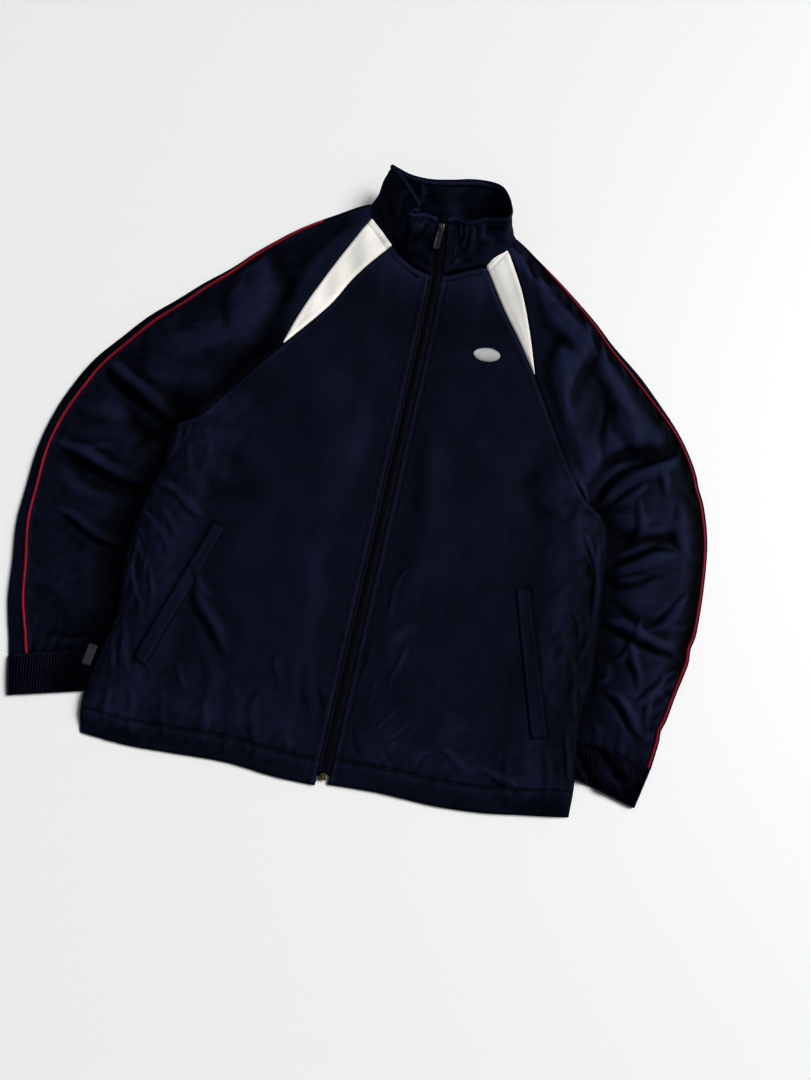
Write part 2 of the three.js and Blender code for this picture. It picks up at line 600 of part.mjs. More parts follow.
/** The slider's top plate with its bridge, standing on the coil. */
function sliderGeometry() {
  const half = SLIDER.width / 2;
  const low = CHAIN_DEPTH / 2 + SEAM_GAP;
  const top = low + SLIDER.plate;
  const outline = new THREE.Shape();
  outline.moveTo(-half * 0.8, -SLIDER.length / 2);
  outline.lineTo(half * 0.8, -SLIDER.length / 2);
  outline.lineTo(half, 0);
  outline.lineTo(half * 0.85, SLIDER.length / 2);
  outline.lineTo(-half * 0.85, SLIDER.length / 2);
  outline.lineTo(-half, 0);
  const plate = new THREE.ExtrudeGeometry(outline, { depth: SLIDER.plate, bevelEnabled: false });
  const leg = SLIDER.leg / 2;
  const legs = [-SLIDER.legY, SLIDER.legY].map((y) => block(-leg, leg, y - leg, y + leg,
    top - 0.2, top + SLIDER.rise + SLIDER.bar));
  const bar = block(-leg, leg, -SLIDER.legY, SLIDER.legY, top + SLIDER.rise, top + SLIDER.rise + SLIDER.bar);
  return join([plate.translate(0, 0, low), ...legs, bar]);
}

/** The pull tab, with the window that goes round the slider's bridge. Its hinge bar lies at the origin. */
function pullGeometry() {
  const eye = PULL.eye / 2;
  const half = PULL.width / 2;
  const bar = PULL.bar / 2;
  const corner = 2.2;
  const shoulder = PULL.windowLength + 0.5;
  const outline = new THREE.Shape();
  outline.moveTo(-eye, bar);
  outline.lineTo(-eye, -shoulder);
  outline.lineTo(-half, -shoulder - 1.2);
  outline.absarc(corner - half, corner - PULL.length, corner, Math.PI, Math.PI * 1.5, false);
  outline.absarc(half - corner, corner - PULL.length, corner, Math.PI * 1.5, Math.PI * 2, false);
  outline.lineTo(half, -shoulder - 1.2);
  outline.lineTo(eye, -shoulder);
  outline.lineTo(eye, bar);
  const window = new THREE.Path();
  window.moveTo(-PULL.window / 2, -bar);
  window.lineTo(PULL.window / 2, -bar);
  window.lineTo(PULL.window / 2, -PULL.windowLength);
  window.lineTo(-PULL.window / 2, -PULL.windowLength);
  outline.holes.push(window);
  return new THREE.ExtrudeGeometry(outline, { depth: PULL.bar, bevelEnabled: false, curveSegments: 4 })
    .translate(0, 0, -bar);
}

/** A group that stands on the zip near its top, with Y up the zip and Z away from it. */
function zipTopFrame() {
  const [below, top] = zipStations().slice(-2);
  const up = new THREE.Vector3().subVectors(top, below).normalize();
  const away = new THREE.Vector3(1, 0, 0).cross(up).normalize();
  const across = new THREE.Vector3().crossVectors(up, away);
  const frame = new THREE.Group();
  frame.position.lerpVectors(below, top, SLIDER.share);
  frame.quaternion.setFromRotationMatrix(new THREE.Matrix4().makeBasis(across, up, away));
  group.add(frame);
  return frame;
}

/** Slider, pull tab and bottom box of the zip. */
async function addZipMetal() {
  const frame = zipTopFrame();
  add('zip_slider', await sliderGeometry(), COLOUR.gunmetal, 0.35, 0.9, frame);
  const pull = add('zip_pull', pullGeometry(), COLOUR.gunmetal, 0.3, 0.9, frame);
  pull.position.z = CHAIN_DEPTH / 2 + SEAM_GAP + SLIDER.plate + PULL.height;
  pull.rotation.set(PULL.droop, 0, PULL.turn, 'ZXY');
  const box = add('zip_box', new THREE.BoxGeometry(BOX.width, BOX.length, BOX.depth), COLOUR.brass, 0.35, 0.9);
  const boxY = ZIP_START - 0.3 - BOX.length / 2;
  box.position.set(zipX(boxY), boxY, upperHeight(zipX(boxY), boxY));
}

/** Plain tab at the inner end of the wearer's right cuff. */
function addTab() {
  const tab = add('label_tab', new THREE.BoxGeometry(TAB.width, TAB.length, TAB.depth), COLOUR.silver, 0.6);
  tab.position.set(TAB.x, TAB.y, 2 * CUFF_TURN + RIB + SEAM_GAP + TAB.depth / 2);
  tab.rotation.z = TAB.turn;
}

addSide('right');
addSide('left');
add('back', wall(backGrid(), CLOTH), COLOUR.navy, 0.55);
add('collar', wall(collarGrid(), COLLAR_CLOTH), COLOUR.navy, 0.55);
add('zip_chain', wall(zipStrip(-CHAIN_WIDTH / 2, CHAIN_WIDTH / 2, zipStations()), CHAIN_DEPTH), COLOUR.coil, 0.5);

addTab();
await addZipMetal();

export default group;
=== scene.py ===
"""Looks of a track jacket that lies flat, front up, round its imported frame.

All sizes in the tables are millimetres in the frame's own axes: +X to the viewer's right (the
wearer's left), +Y up the zip to the collar, +Z up. Right and left are the wearer's.
"""

import logging
import math
from dataclasses import dataclass, field
from enum import Enum

import bpy
import numpy as np
from mathutils import Matrix, Vector


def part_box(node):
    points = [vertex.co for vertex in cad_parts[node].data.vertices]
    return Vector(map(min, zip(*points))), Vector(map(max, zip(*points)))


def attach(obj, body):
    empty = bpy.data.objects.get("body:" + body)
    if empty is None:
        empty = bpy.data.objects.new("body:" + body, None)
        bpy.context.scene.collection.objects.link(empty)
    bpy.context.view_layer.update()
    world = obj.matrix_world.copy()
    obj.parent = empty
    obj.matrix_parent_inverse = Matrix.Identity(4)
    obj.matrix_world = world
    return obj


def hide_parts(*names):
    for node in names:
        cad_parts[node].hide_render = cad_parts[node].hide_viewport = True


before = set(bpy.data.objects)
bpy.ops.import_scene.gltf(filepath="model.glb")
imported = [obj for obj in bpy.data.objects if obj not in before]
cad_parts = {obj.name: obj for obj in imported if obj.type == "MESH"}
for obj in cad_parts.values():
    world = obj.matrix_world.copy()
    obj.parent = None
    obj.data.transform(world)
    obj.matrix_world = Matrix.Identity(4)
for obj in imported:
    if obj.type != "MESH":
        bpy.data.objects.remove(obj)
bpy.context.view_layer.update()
LOG = logging.getLogger("jacket")
Array = np.ndarray
Table = dict[str, Array]

MM = 0.001
GARMENT = "garment"
PULL = "pull"
SEED = 7

# The cloth's thickness, the lowest layer's height, and the step from one layer to the next
CLOTH = 1.1
GROUND = 0.7
LAYER_STEP = 1.7
# How far the sleeves lift the body, and how far in from its side folds that lift starts to fall and ends
BODY_LIFT = 6.0
LIFT_FLAT, LIFT_END = 50.0, 95.0
# Air between the body's layers, a sleeve's depth between its layers, and the radius of a cuff's folds
BODY_AIR = 1.3
SLEEVE_DEPTH = 5.4
CUFF_TURN = 1.7
# How far the open neck raises the front, and its circle in plan
NECK_RISE = 8.5
NECK_CENTRE = (-7.0, 410.0)
NECK_RADIUS = 84.0
# Half the zip's band, how far its middle lies towards -X, and how far cloth stays back from a seam
ZIP_HALF = 7.5
ZIP_MIDDLE = 3.0
SEAM_HALF = 0.15
# Where the hem and the coil's lower end lie along Y
HEM_Y = -331.0
ZIP_START = HEM_Y + 14.5


class Side(Enum):
    """The wearer's side."""

    RIGHT = "right"
    LEFT = "left"

    @property
    def turn(self) -> int:
        """1 on the wearer's right, where X is negative, and -1 on the left."""
        return 1 if self is Side.RIGHT else -1


def columns(names: str, *rows: tuple[float, ...]) -> Table:
    """Turns rows of numbers into named columns."""
    return dict(zip(names.split(), np.array(rows, float).T))


SIDE_FOLD: dict[Side, Table] = {
    Side.RIGHT: columns("x y", (-295, -330), (-301, -300), (-298, -244), (-290, -185), (-299, -130),
                        (-300, -85), (-293, -29), (-284, 6), (-287, 32), (-281, 63)),
    Side.LEFT: columns("x y", (281, -307), (280, -264), (275, -205), (281, -140), (279, -80),
                       (277, -30), (275, 13), (269, 37), (258, 55)),
}
RAGLAN_LOWER: dict[Side, Table] = {
    Side.RIGHT: columns("x y", (-281, 63), (-257, 76), (-214, 142), (-178, 191)),
    Side.LEFT: columns("x y", (258, 55), (236, 69), (194, 136), (150, 215)),
}
INSERT_BODY: dict[Side, Table] = {
    Side.RIGHT: columns("x y", (-178, 191), (-129, 259), (-106, 304), (-67, 354)),
    Side.LEFT: columns("x y", (150, 215), (122, 258), (95, 296), (60, 350)),
}
INSERT_SLEEVE: dict[Side, Table] = {
    Side.RIGHT: columns("x y", (-178, 191), (-165, 241), (-136, 317), (-102, 389)),
    Side.LEFT: columns("x y", (150, 215), (132, 275), (112, 328), (80, 386)),
}
RAGLAN_BACK: dict[Side, Table] = {
    Side.RIGHT: columns("x y", (-281, 63), (-243, 84), (-170, 200), (-112, 316), (-78, 394)),
    Side.LEFT: columns("x y", (258, 55), (222, 78), (146, 203), (92, 316), (60, 392)),
}
NECK_FRONT: dict[Side, Table] = {
    Side.RIGHT: columns("x y", (-67, 354), (-50, 340), (-28, 329), (-10, 325)),
    Side.LEFT: columns("x y", (60, 350), (40, 341), (20, 332), (5.5, 327)),
}
NECK_BACK = columns("x y", (-78, 394), (-50, 386), (-8, 383), (32, 385), (60, 392))
HEM: dict[Side, Table] = {
    Side.RIGHT: columns("x y", (-295, -330), (-236, -333), (-188, -331), (-119, -328), (-60, -332),
                        (-13, -332)),
    Side.LEFT: columns("x y", (281, -307), (223, -316), (185, -322), (130, -326), (60, -325), (3, -328)),
}
SLEEVE: dict[Side, Table] = {
    Side.RIGHT: columns("inner_x inner_y outer_x outer_y piping",
                        (-280.5, 62.5, -112, 416, 4), (-280, 35, -196, 360, 4), (-276, 5, -273, 284, 5),
                        (-271, -30, -362, 190, 9.5), (-272, -65, -412, 122, 12),
                        (-266, -100, -442, 33, 14.5), (-265, -130, -447, -49, 12.5),
                        (-270, -165, -439, -126, 14), (-283, -200, -424, -198, 18),
                        (-299, -231, -404, -262, 21)),
    Side.LEFT: columns("inner_x inner_y outer_x outer_y piping",
                       (258, 54.5, 91, 406, 4), (263, 30, 164, 351, 4), (262, 3, 236, 287, 5.5),
                       (257, -28, 308, 217, 9), (252, -55, 362, 147, 5), (242, -85, 391, 60, 5),
                       (239, -115, 398, -20, 4), (243, -145, 392, -95, 4), (252, -180, 380, -160, 4),
                       (268, -214, 365, -235, 4)),
}
# Where gathers pull the wearer's left outer fold in: the height, the half width and the depth
PULLED_IN = ((-88.0, 11.0, 2.6), (-190.0, 9.0, 2.2), (112.0, 12.0, 1.6))
CUFF_END: dict[Side, tuple[float, float, float, float]] = {
    Side.RIGHT: (-297, -281, -391, -306),
    Side.LEFT: (270, -260, 353, -281),
}
WELT: dict[Side, Table] = {
    Side.RIGHT: columns("open_x open_y sewn_x sewn_y", (-203, -55, -188, -59), (-228, -142, -213, -150),
                        (-253, -232, -238, -241)),
    Side.LEFT: columns("open_x open_y sewn_x sewn_y", (189, -55, 174, -61), (214, -139, 197, -144),
                       (240, -225, 221, -229)),
}
COLLAR = columns(
    "neck_x neck_y neck_z top_x top_y top_z",
    (-11, 327, 13, -15, 389, 44), (-22, 330, 14, -30, 391, 45), (-33, 334, 15, -40, 388, 46),
    (-43, 338, 15.5, -49, 387, 47.5), (-50, 342.5, 15.5, -46.5, 391.5, 49), (-57, 348, 15.5, -39, 395, 50),
    (-64, 353.5, 15.5, -41, 402, 50.5), (-72, 361, 15.5, -49, 414, 50), (-83, 373, 14.5, -59, 426, 49),
    (-94, 389, 12.5, -71, 439, 46), (-102, 402, 10, -82, 450, 43), (-102, 410, 7.5, -87, 455, 40),
    (-92, 405, 5, -79, 452, 39.5), (-74, 398, 4, -61, 446, 39.5), (-42, 391, 3.6, -35, 444, 40),
    (-8, 388.5, 3.6, -7, 448, 41), (30, 391, 3.6, 21, 453, 43), (58, 397, 4.2, 45, 452, 46),
    (72, 401.5, 5, 59, 446, 50), (80, 403.5, 7, 68, 434, 54), (84, 401, 10, 75, 418, 58),
    (83, 394, 12.5, 78, 405, 60), (79, 384, 14, 75, 398, 60), (70, 370, 15, 61, 395, 56.5),
    (58, 355, 15.5, 46, 394, 53.5), (47, 347.5, 15.5, 35, 390, 51), (37, 343, 15, 25, 387, 49),
    (27, 339, 14.5, 16, 390, 47.5), (16, 334, 14, 7, 392, 46.5), (6.5, 329, 13, 0.5, 390, 45))

CREASE = "x0 y0 x1 y1 bow width height skew"
# Creases as soft ridges, or troughs where the height is negative. Skew makes the flank on the right of
# a ridge's run steeper, with a dip beyond it; a negative skew does so on the left.
BODY_CREASES = columns(
    CREASE,
    (-277, 60, -285, -6, 4, 3, 1.5, 0.3), (-260, 66, -266, 36, -3, 2.3, 1.1, 0.2),
    (-298, -50, -262, -90, 3, 2.6, 1.4, -0.4), (-299, -72, -276, -104, 3, 2, 1, -0.3),
    (-298, -104, -290, -172, 3, 2.6, 1.7, 0.3), (-288, -92, -277, -150, -3, 2, 1.4, -0.3),
    (-276, -104, -268, -148, 2, 1.7, 1, 0.3), (-289, -19, -214, -56, 6, 4, 1.4, 0.4),
    (-272, -44, -232, -84, -4, 2.6, 0.9, 0.3), (-268, -118, -252, -166, 3, 2.3, 1.2, 0.2),
    (-211, -108, -142, -212, -8, 7, 2.3, 0.5), (-226, -96, -176, -150, -5, 3.3, 0.9, 0.3),
    (-230, 14, -150, -18, -10, 20, -1.8, 0), (-282, -190, -262, -266, 4, 3.3, 1.4, 0.3),
    (-270, -206, -248, -262, -3, 2.4, 1, 0.2), (-252, -262, -234, -322, 2, 3, 1, 0.2),
    (-276, -268, -268, -322, 2, 2.6, 1, 0.1), (-122, 246, -98, -40, 14, 32, 1.6, 0.2),
    (-62, 150, -56, -230, -8, 20, 1.8, -0.3), (-156, 40, -128, -236, 10, 28, 1.6, 0.2),
    (-196, 120, -236, 20, 8, 22, 1.4, 0.2), (-170, -206, -148, -326, 6, 9, 1.3, 0.3),
    (-128, -224, -116, -322, 3, 8, 0.8, 0.2), (-98, -236, -84, -326, -4, 7, 1.1, 0.4),
    (-58, -280, -48, -316, 1, 2.6, 0.5, 0.3), (-212, -262, -196, -326, 3, 4, 0.8, 0.2),
    (48, 170, 40, -190, 8, 18, 1.8, 0.3), (112, 190, 126, -130, -10, 34, 1.2, 0.1),
    (44, -262, 66, -226, 1, 1.9, 0.55, 0.4), (58, -270, 86, -236, 1, 2, 0.5, 0.4),
    (34, -196, 26, -244, 1, 1.8, 0.5, 0.3), (14, -262, 34, -294, 1, 2.4, -0.7, 0),
    (92, -290, 118, -262, 2, 2.6, 0.6, 0.3), (58, -120, 44, -196, -4, 8, 1, 0.2),
    (72, -296, 56, -276, 1, 2, 0.7, 0.4), (70, -262, 57, -277, 1, 2, 0.6, 0.4),
    (22, -150, 12, -214, 1, 2, 0.5, 0.3), (-34, -212, -22, -272, 2, 4, -0.9, 0),
    (-62, -196, -40, -262, 2, 5, -0.9, 0),
    (159, 100, 186, 10, 5, 17, -1.8, 0), (244, 26, 274, -98, 9, 4, 2.5, 0.5),
    (236, 10, 262, -70, 7, 7, -1.2, 0), (250, 0, 264, -40, 2, 2.1, 1.4, 0.4),
    (264, 52, 276, -44, 3, 3.3, 1.5, -0.3), (228, 60, 238, -30, 6, 9, 1.4, 0.3),
    (172, -274, 224, -293, 3, 3.3, 1.4, 0.3), (262, -212, 280, -280, -3, 3, 1.7, 0.4),
    (268, -150, 276, -214, 3, 2.6, 1.4, 0.2), (238, -236, 254, -304, 3, 3.3, 1.2, 0.2),
    (250, -120, 262, -200, 4, 4, 1, 0.2), (222, -40, 240, -150, 6, 10, 1.3, 0.3),
    (118, -206, 134, -272, -4, 12, 0.9, 0.2), (196, -238, 208, -312, 2, 4, 0.8, 0.2),
    (-292, -120, -274, -176, 2, 2.4, 1.2, 0.3), (-284, -136, -262, -172, -2, 2.2, 0.9, 0.3),
    (-294, -86, -270, -128, 2, 2.2, 1, -0.3), (-280, -60, -246, -108, 3, 2.6, 0.9, 0.3),
    (-270, -160, -256, -196, 2, 2.2, 0.8, 0.2), (-286, -212, -276, -262, 2, 2.4, 1, 0.2),
    (-262, 44, -250, -6, 3, 3, 0.9, 0.3), (-246, 60, -226, 20, 3, 3.4, 0.8, 0.2),
    (256, 26, 266, -16, 2, 2.2, 1.1, 0.3), (244, -70, 262, -118, 3, 2.6, 1.1, 0.3),
    (270, -96, 264, -142, -2, 2.2, 1.1, 0.3), (258, -168, 272, -204, 2, 2.4, 1, 0.3),
    (40, -60, 30, -132, -3, 3, 0.9, 0.3), (62, -150, 50, -214, -3, 3, 0.9, 0.3),
    (34, -286, 60, -300, 2, 2.4, 0.5, 0.3), (120, -262, 160, -284, 3, 3, 0.8, 0.3),
    (-110, -282, -96, -322, 2, 2.6, 0.6, 0.3), (-92, -190, -76, -240, 2, 4, 0.6, 0.3),
    (-160, -262, -150, -316, 2, 3, 0.8, 0.3), (-206, -226, -186, -262, 3, 3, 0.8, 0.3))
SLEEVE_CREASES: dict[Side, Table] = {
    Side.RIGHT: columns(
        CREASE,
        (-398, 138, -274, 66, -14, 7, 7.2, 0.55), (-390, 112, -288, 34, -8, 14, -6, 0),
        (-428, 10, -290, -22, -9, 6, 5.6, 0.55), (-420, -14, -284, -38, -5, 11, -4.4, 0),
        (-392, 0, -340, 8, 4, 4, 0.8, 0.3), (-396, -76, -304, -106, -4, 4.4, 3, 0.5),
        (-408, -98, -320, -122, 5, 10, -1.6, 0), (-166, 350, -262, 90, 18, 20, -6.5, 0.1),
        (-222, 344, -304, 132, 24, 24, 5, -0.3), (-142, 356, -214, 178, 12, 12, 2.6, 0.3),
        (-256, 286, -250, 180, 8, 10, 2.4, 0.3), (-300, 236, -332, 160, -8, 14, 1.6, 0.2),
        (-352, 186, -296, 96, -10, 14, 1.6, 0.4), (-424, 66, -316, 34, 8, 12, 1, 0.4),
        (-420, -40, -330, -60, 4, 8, 0.6, 0.4), (-370, -240, -306, -224, 3, 4.4, 2.8, -0.4),
        (-416, -160, -322, -204, 5, 10, 0.9, 0.4), (-340, -140, -312, -196, -4, 8, 0.9, 0.3),
        (-392, -250, -378, -196, 2, 4, 1.3, 0.2), (-356, -250, -348, -190, 2, 4, 1.1, 0.2),
        (-326, -240, -318, -196, -2, 4, 1.1, 0.1), (-300, 44, -330, -14, 5, 7, 1.8, 0.3),
        (-294, -50, -318, -88, 3, 5, 1.4, 0.3)),
    Side.LEFT: columns(
        CREASE,
        (244, 40, 350, 152, 11, 7, 8.5, -0.55), (238, 82, 340, 166, 11, 11, -7, 0),
        (272, 60, 322, 104, 5, 4, 2, -0.4), (272, -26, 356, 18, 8, 6, 7, -0.55),
        (276, 4, 366, 50, 7, 9, -5.4, 0),
        (208, 312, 199, 118, -8, 10, 3.4, -0.3), (250, 214, 300, 138, 3, 8, 2.8, 0.3),
        (240, 196, 250, 106, 3, 5, -2.4, 0), (226, 284, 244, 214, -3, 6, 2, 0.3),
        (284, -42, 350, -10, 6, 5, -2.2, 0), (290, -30, 332, -14, 4, 3.6, 2, -0.4),
        (276, -72, 388, -92, -7, 5.4, 4.6, 0.55), (284, -54, 376, -64, -5, 8, -2.2, 0),
        (380, -24, 334, -80, 5, 4.4, 2.8, 0.4), (305, 84, 304, 22, 3, 4, 2, 0.4),
        (296, -156, 362, -216, 6, 5, 3.8, 0.5), (316, -96, 335, -148, 3, 4, 2.6, 0.4),
        (364, -122, 336, -174, 3, 4.4, 2.6, 0.4), (269, -106, 295, -166, 4, 6, 3.2, 0.4),
        (346, -150, 366, -208, -3, 4, 2, 0.3), (178, 282, 214, 112, -12, 12, 4, 0.4),
        (206, 270, 268, 122, -12, 16, -3.2, 0), (128, 378, 214, 246, -16, 11, 3.4, 0.4),
        (232, 250, 306, 142, -10, 9, 3, 0.4), (283, 224, 328, 186, 5, 5, 2.6, 0.4),
        (87, 396, 134, 296, 4, 5, 3, 0.45), (330, 180, 366, 50, -9, 9, -2, 0),
        (352, 90, 372, 20, -5, 6, 1.8, 0.3),
        (392, -60, 366, -66, 2, 2.6, 1.4, 0.3), (388, -100, 362, -92, 2, 2.6, 1.4, 0.3),
        (386, -120, 360, -128, -2, 2.6, 1.3, 0.3), (382, -150, 358, -146, 2, 3, 1.3, 0.3),
        (330, -60, 300, -130, 5, 4, 2, 0.4), (350, -100, 322, -90, 2, 3, 1.4, 0.3),
        (306, 140, 340, 90, 4, 5, 1.8, 0.3), (356, 110, 384, 60, 3, 4, 1.6, 0.3),
        (300, 24, 344, 54, 3, 4, 1.8, -0.4), (262, -44, 290, -58, 2, 3, 1.6, 0.3),
        (288, -192, 308, -228, 2, 4, 2, 0.3), (320, -186, 331, -232, 2, 4, 2, 0.3),
        (344, -196, 352, -238, 2, 4, 1.8, 0.3), (300, -120, 288, -160, 3, 4, 1.8, 0.3)),
}


def ramp(value: Array, start: float, end: float) -> Array:
    """A value that rises softly from 0 at start to 1 at end: 3t² − 2t³ of the clamped share."""
    share = np.clip((value - start) / (end - start), 0.0, 1.0)
    return share * share * (3 - 2 * share)


def bell(value: Array, width: float | Array, middle: float = 0.0) -> Array:
    """A soft bump, 1 at its middle and falling off to both sides: exp(−((value − middle)/width)²)."""
    return np.exp(-((value - middle) / width) ** 2)


def spline(points: Array, per_span: int = 48) -> Array:
    """A dense line through the points, as a centripetal Catmull-Rom curve.

    Args:
        points: The points, one a row.
        per_span: How many points each span between two of them gets.

    Returns:
        The dense line's points, one a row.
    """
    ends = np.vstack([2 * points[0] - points[1], points, 2 * points[-1] - points[-2]])
    p0, p1, p2, p3 = ends[:-3], ends[1:-2], ends[2:-1], ends[3:]
    gap = [np.maximum(np.linalg.norm(b - a, axis=1, keepdims=True), 1e-9) ** 0.5
           for a, b in ((p0, p1), (p1, p2), (p2, p3))]
    leave = ((p1 - p0) / gap[0] - (p2 - p0) / (gap[0] + gap[1]) + (p2 - p1) / gap[1]) * gap[1]
    reach = ((p2 - p1) / gap[1] - (p3 - p1) / (gap[1] + gap[2]) + (p3 - p2) / gap[2]) * gap[1]
    t = (np.arange(per_span) / per_span)[None, :, None]
    parts = [part[:, None, :] for part in (p1, leave, p2, reach)]
    line = ((2 * t**3 - 3 * t**2 + 1) * parts[0] + (t**3 - 2 * t**2 + t) * parts[1]
            + (3 * t**2 - 2 * t**3) * parts[2] + (t**3 - t**2) * parts[3])
    return np.vstack([line.reshape(-1, points.shape[1]), points[-1:]])


def shares_of(line: Array) -> Array:
    """The share of a line's length at each of its points.

    Args:
        line: The line's points, one a row.

    Returns:
        Shares from 0 to 1.
    """
    steps = np.linalg.norm(np.diff(line, axis=0), axis=1)
    lengths = np.concatenate([[0.0], np.cumsum(steps)])
    return lengths / lengths[-1]


def at_shares(line: Array, shares: Array) -> Array:
    """Points of a dense line at the given shares of its length."""
    own = shares_of(line)
    return np.stack([np.interp(shares, own, line[:, k]) for k in range(line.shape[1])], axis=1)


def along(table: Table, count: int, x: str = "x", y: str = "y") -> Array:
    """Evenly spaced plan points on the smooth curve through a table's rows."""
    return at_shares(spline(np.stack([table[x], table[y]], axis=1)), np.linspace(0, 1, count))


def shifted(line: Array, distance: float | Array) -> Array:
    """A plan line moved to the left of its run by a distance.

    Args:
        line: The line's points, one a row.
        distance: How far, for the whole line or for each point.

    Returns:
        Plan points in millimetres, one a row.
    """
    run = np.gradient(line, axis=0)
    run /= np.linalg.norm(run, axis=1, keepdims=True)
    offset = np.asarray(distance) * np.ones(len(line))
    return line + offset[:, None] * np.stack([-run[:, 1], run[:, 0]], axis=1)


def fill(bottom: Array, top: Array, left: Array, right: Array) -> Array:
    """A Coons grid: the two blends between opposite edges, less the blend of the four corners.

    Args:
        bottom: The lower edge.
        top: The upper edge, run the same way.
        left: The edge from the lower edge's start to the upper one's.
        right: The edge between their ends.

    Returns:
        Rows × columns × 2 plan points.
    """
    across = np.linspace(0, 1, len(bottom))[None, :, None]
    up = np.linspace(0, 1, len(left))[:, None, None]
    v = shares_of(left)[:, None, None] * (1 - across) + shares_of(right)[:, None, None] * across
    u = shares_of(bottom)[None, :, None] * (1 - up) + shares_of(top)[None, :, None] * up
    return ((1 - v) * bottom[None] + v * top[None] + (1 - u) * left[:, None] + u * right[:, None]
            - (1 - u) * (1 - v) * bottom[0] - u * (1 - v) * bottom[-1]
            - (1 - u) * v * top[0] - u * v * top[-1])


def nearest(points: Array, line: Array) -> tuple[Array, Array]:
    """The distance of plan points from a line, and how far along the line the nearest place is.

    Args:
        points: Plan points in any grid shape, with x and y last.
        line: The line's points, one a row.

    Returns:
        Two arrays in the grid's shape, in millimetres.
    """
    dense = at_shares(line, np.linspace(0, 1, 260))
    lengths = shares_of(dense) * np.linalg.norm(np.diff(dense, axis=0), axis=1).sum()
    flat = points[..., :2].reshape(-1, 2)
    square = ((flat**2).sum(1)[:, None] + (dense**2).sum(1)[None] - 2 * flat @ dense.T)
    index = square.argmin(1)
    distance = np.sqrt(np.maximum(square[np.arange(len(flat)), index], 0.0))
    shape = points.shape[:-1]
    return distance.reshape(shape), lengths[index].reshape(shape)


def creases(x: Array, y: Array, table: Table) -> Array:
    """The height that a table of creases adds: each is a bowed line with a bell-shaped section.

    A crease's height is h·exp(−(d/w)²), where d is the distance from its line and w its width, wider
    on one flank by the skew. Beyond the narrow flank the cloth dips by h·|skew| in a second, narrower
    bell. Both fade in and out along the line.

    Args:
        x: Plan places.
        y: Plan places.
        table: The creases.

    Returns:
        The added height.
    """
    total = np.zeros_like(x)
    for x0, y0, x1, y1, bow, width, height, skew in zip(*table.values()):
        run = np.array([x1 - x0, y1 - y0])
        length = float(np.hypot(*run))
        run = run / length
        share = ((x - x0) * run[0] + (y - y0) * run[1]) / length
        inside = np.clip(share, 0, 1)
        sway = bow * 4 * inside * (1 - inside) + 0.5 * width * np.sin(share * 7 + x0)
        off = -(x - x0) * run[1] + (y - y0) * run[0] - sway
        swell = 0.5 * np.sin(np.pi * np.clip(inside, 0.05, 0.95))
        wide = width * (0.7 + swell + 0.12 * np.sin(share * 11 + y0))
        fade = ramp(share, -0.06, 0.32) * (1 - ramp(share, 0.6, 1.06)) * (1 + 0.18 * np.sin(share * 9 + y1))
        crest = bell(off, wide * (1 + skew * np.sign(off)))
        beside = math.copysign(1.3 * (1 - abs(skew)) + 0.6, skew)
        dip = abs(skew) * bell(off + beside * wide, 0.65 * wide)
        total += height * fade * (crest - dip)
    return total


COLLAR_CREASES = columns(
    CREASE,
    (16, 66, 62, 16, 4, 6, 1.5, 0.3), (66, 70, 96, 14, 5, 7, 1.6, 0.3),
    (112, 66, 120, 8, -4, 8, 1.3, 0.2), (40, 20, 92, 8, 3, 5, 0.9, 0.2),
    (150, 66, 142, 20, 4, 8, 1.0, 0.2), (268, 70, 262, 28, 3, 3.4, 1.8, 0.3),
    (304, 66, 294, 20, -3, 7, 1.0, 0.2), (232, 66, 240, 18, 3, 7, 1.0, 0.2),
    (340, 60, 330, 20, 3, 8, 0.9, 0.1), (200, 60, 192, 20, 3, 8, 0.9, 0.1),
    (536, 16, 533, 40, 0, 2.4, 0.55, 0.5), (527, 30, 496, 60, 2, 4.6, 0.7, 0.4),
    (508, 14, 480, 58, -2, 6, 1.1, 0.3), (546, 8, 520, 16, 1, 3, 0.8, 0.3),
    (470, 64, 452, 24, 3, 7, 1.2, 0.2), (520, 66, 516, 44, 1, 3, 0.9, 0.2),
    (506, 68, 503, 46, 1, 3, 0.8, 0.2), (490, 68, 488, 50, -1, 3, 0.8, 0.2),
    (430, 60, 420, 14, 4, 8, 1.0, 0.1))


class Waves:
    """Soft random unevenness of cloth: a few dozen seeded plane waves of mixed lengths."""

    def __init__(self, seed: int, shortest: float, longest: float, stretch: float, turn: float) -> None:
        """Draws the waves.

        Args:
            seed: The random seed.
            shortest: Shortest wavelength in millimetres.
            longest: Longest wavelength in millimetres.
            stretch: How many times longer the waves are along their grain.
            turn: The grain's angle from X in radians.
        """
        draw = np.random.default_rng(seed)
        self.lengths = shortest * (longest / shortest) ** draw.random(28)
        self.angles = draw.random(28) * 2 * np.pi
        self.phases = draw.random(28) * 2 * np.pi
        self.stretch, self.turn = stretch, turn

    def height(self, x: Array, y: Array) -> Array:
        """The sum of the waves, from about −1 to 1.

        Args:
            x: Plan places.
            y: Plan places.

        Returns:
            Values in the places' shape.
        """
        with_grain = (x * math.cos(self.turn) + y * math.sin(self.turn)) / self.stretch
        against = -x * math.sin(self.turn) + y * math.cos(self.turn)
        total = np.zeros_like(x)
        for length, angle, phase in zip(self.lengths, self.angles, self.phases):
            k = 2 * np.pi / length
            total += (length / self.lengths.max()) ** 0.7 * np.sin(
                k * (with_grain * math.cos(angle) + against * math.sin(angle)) + phase)
        return total / 6.0


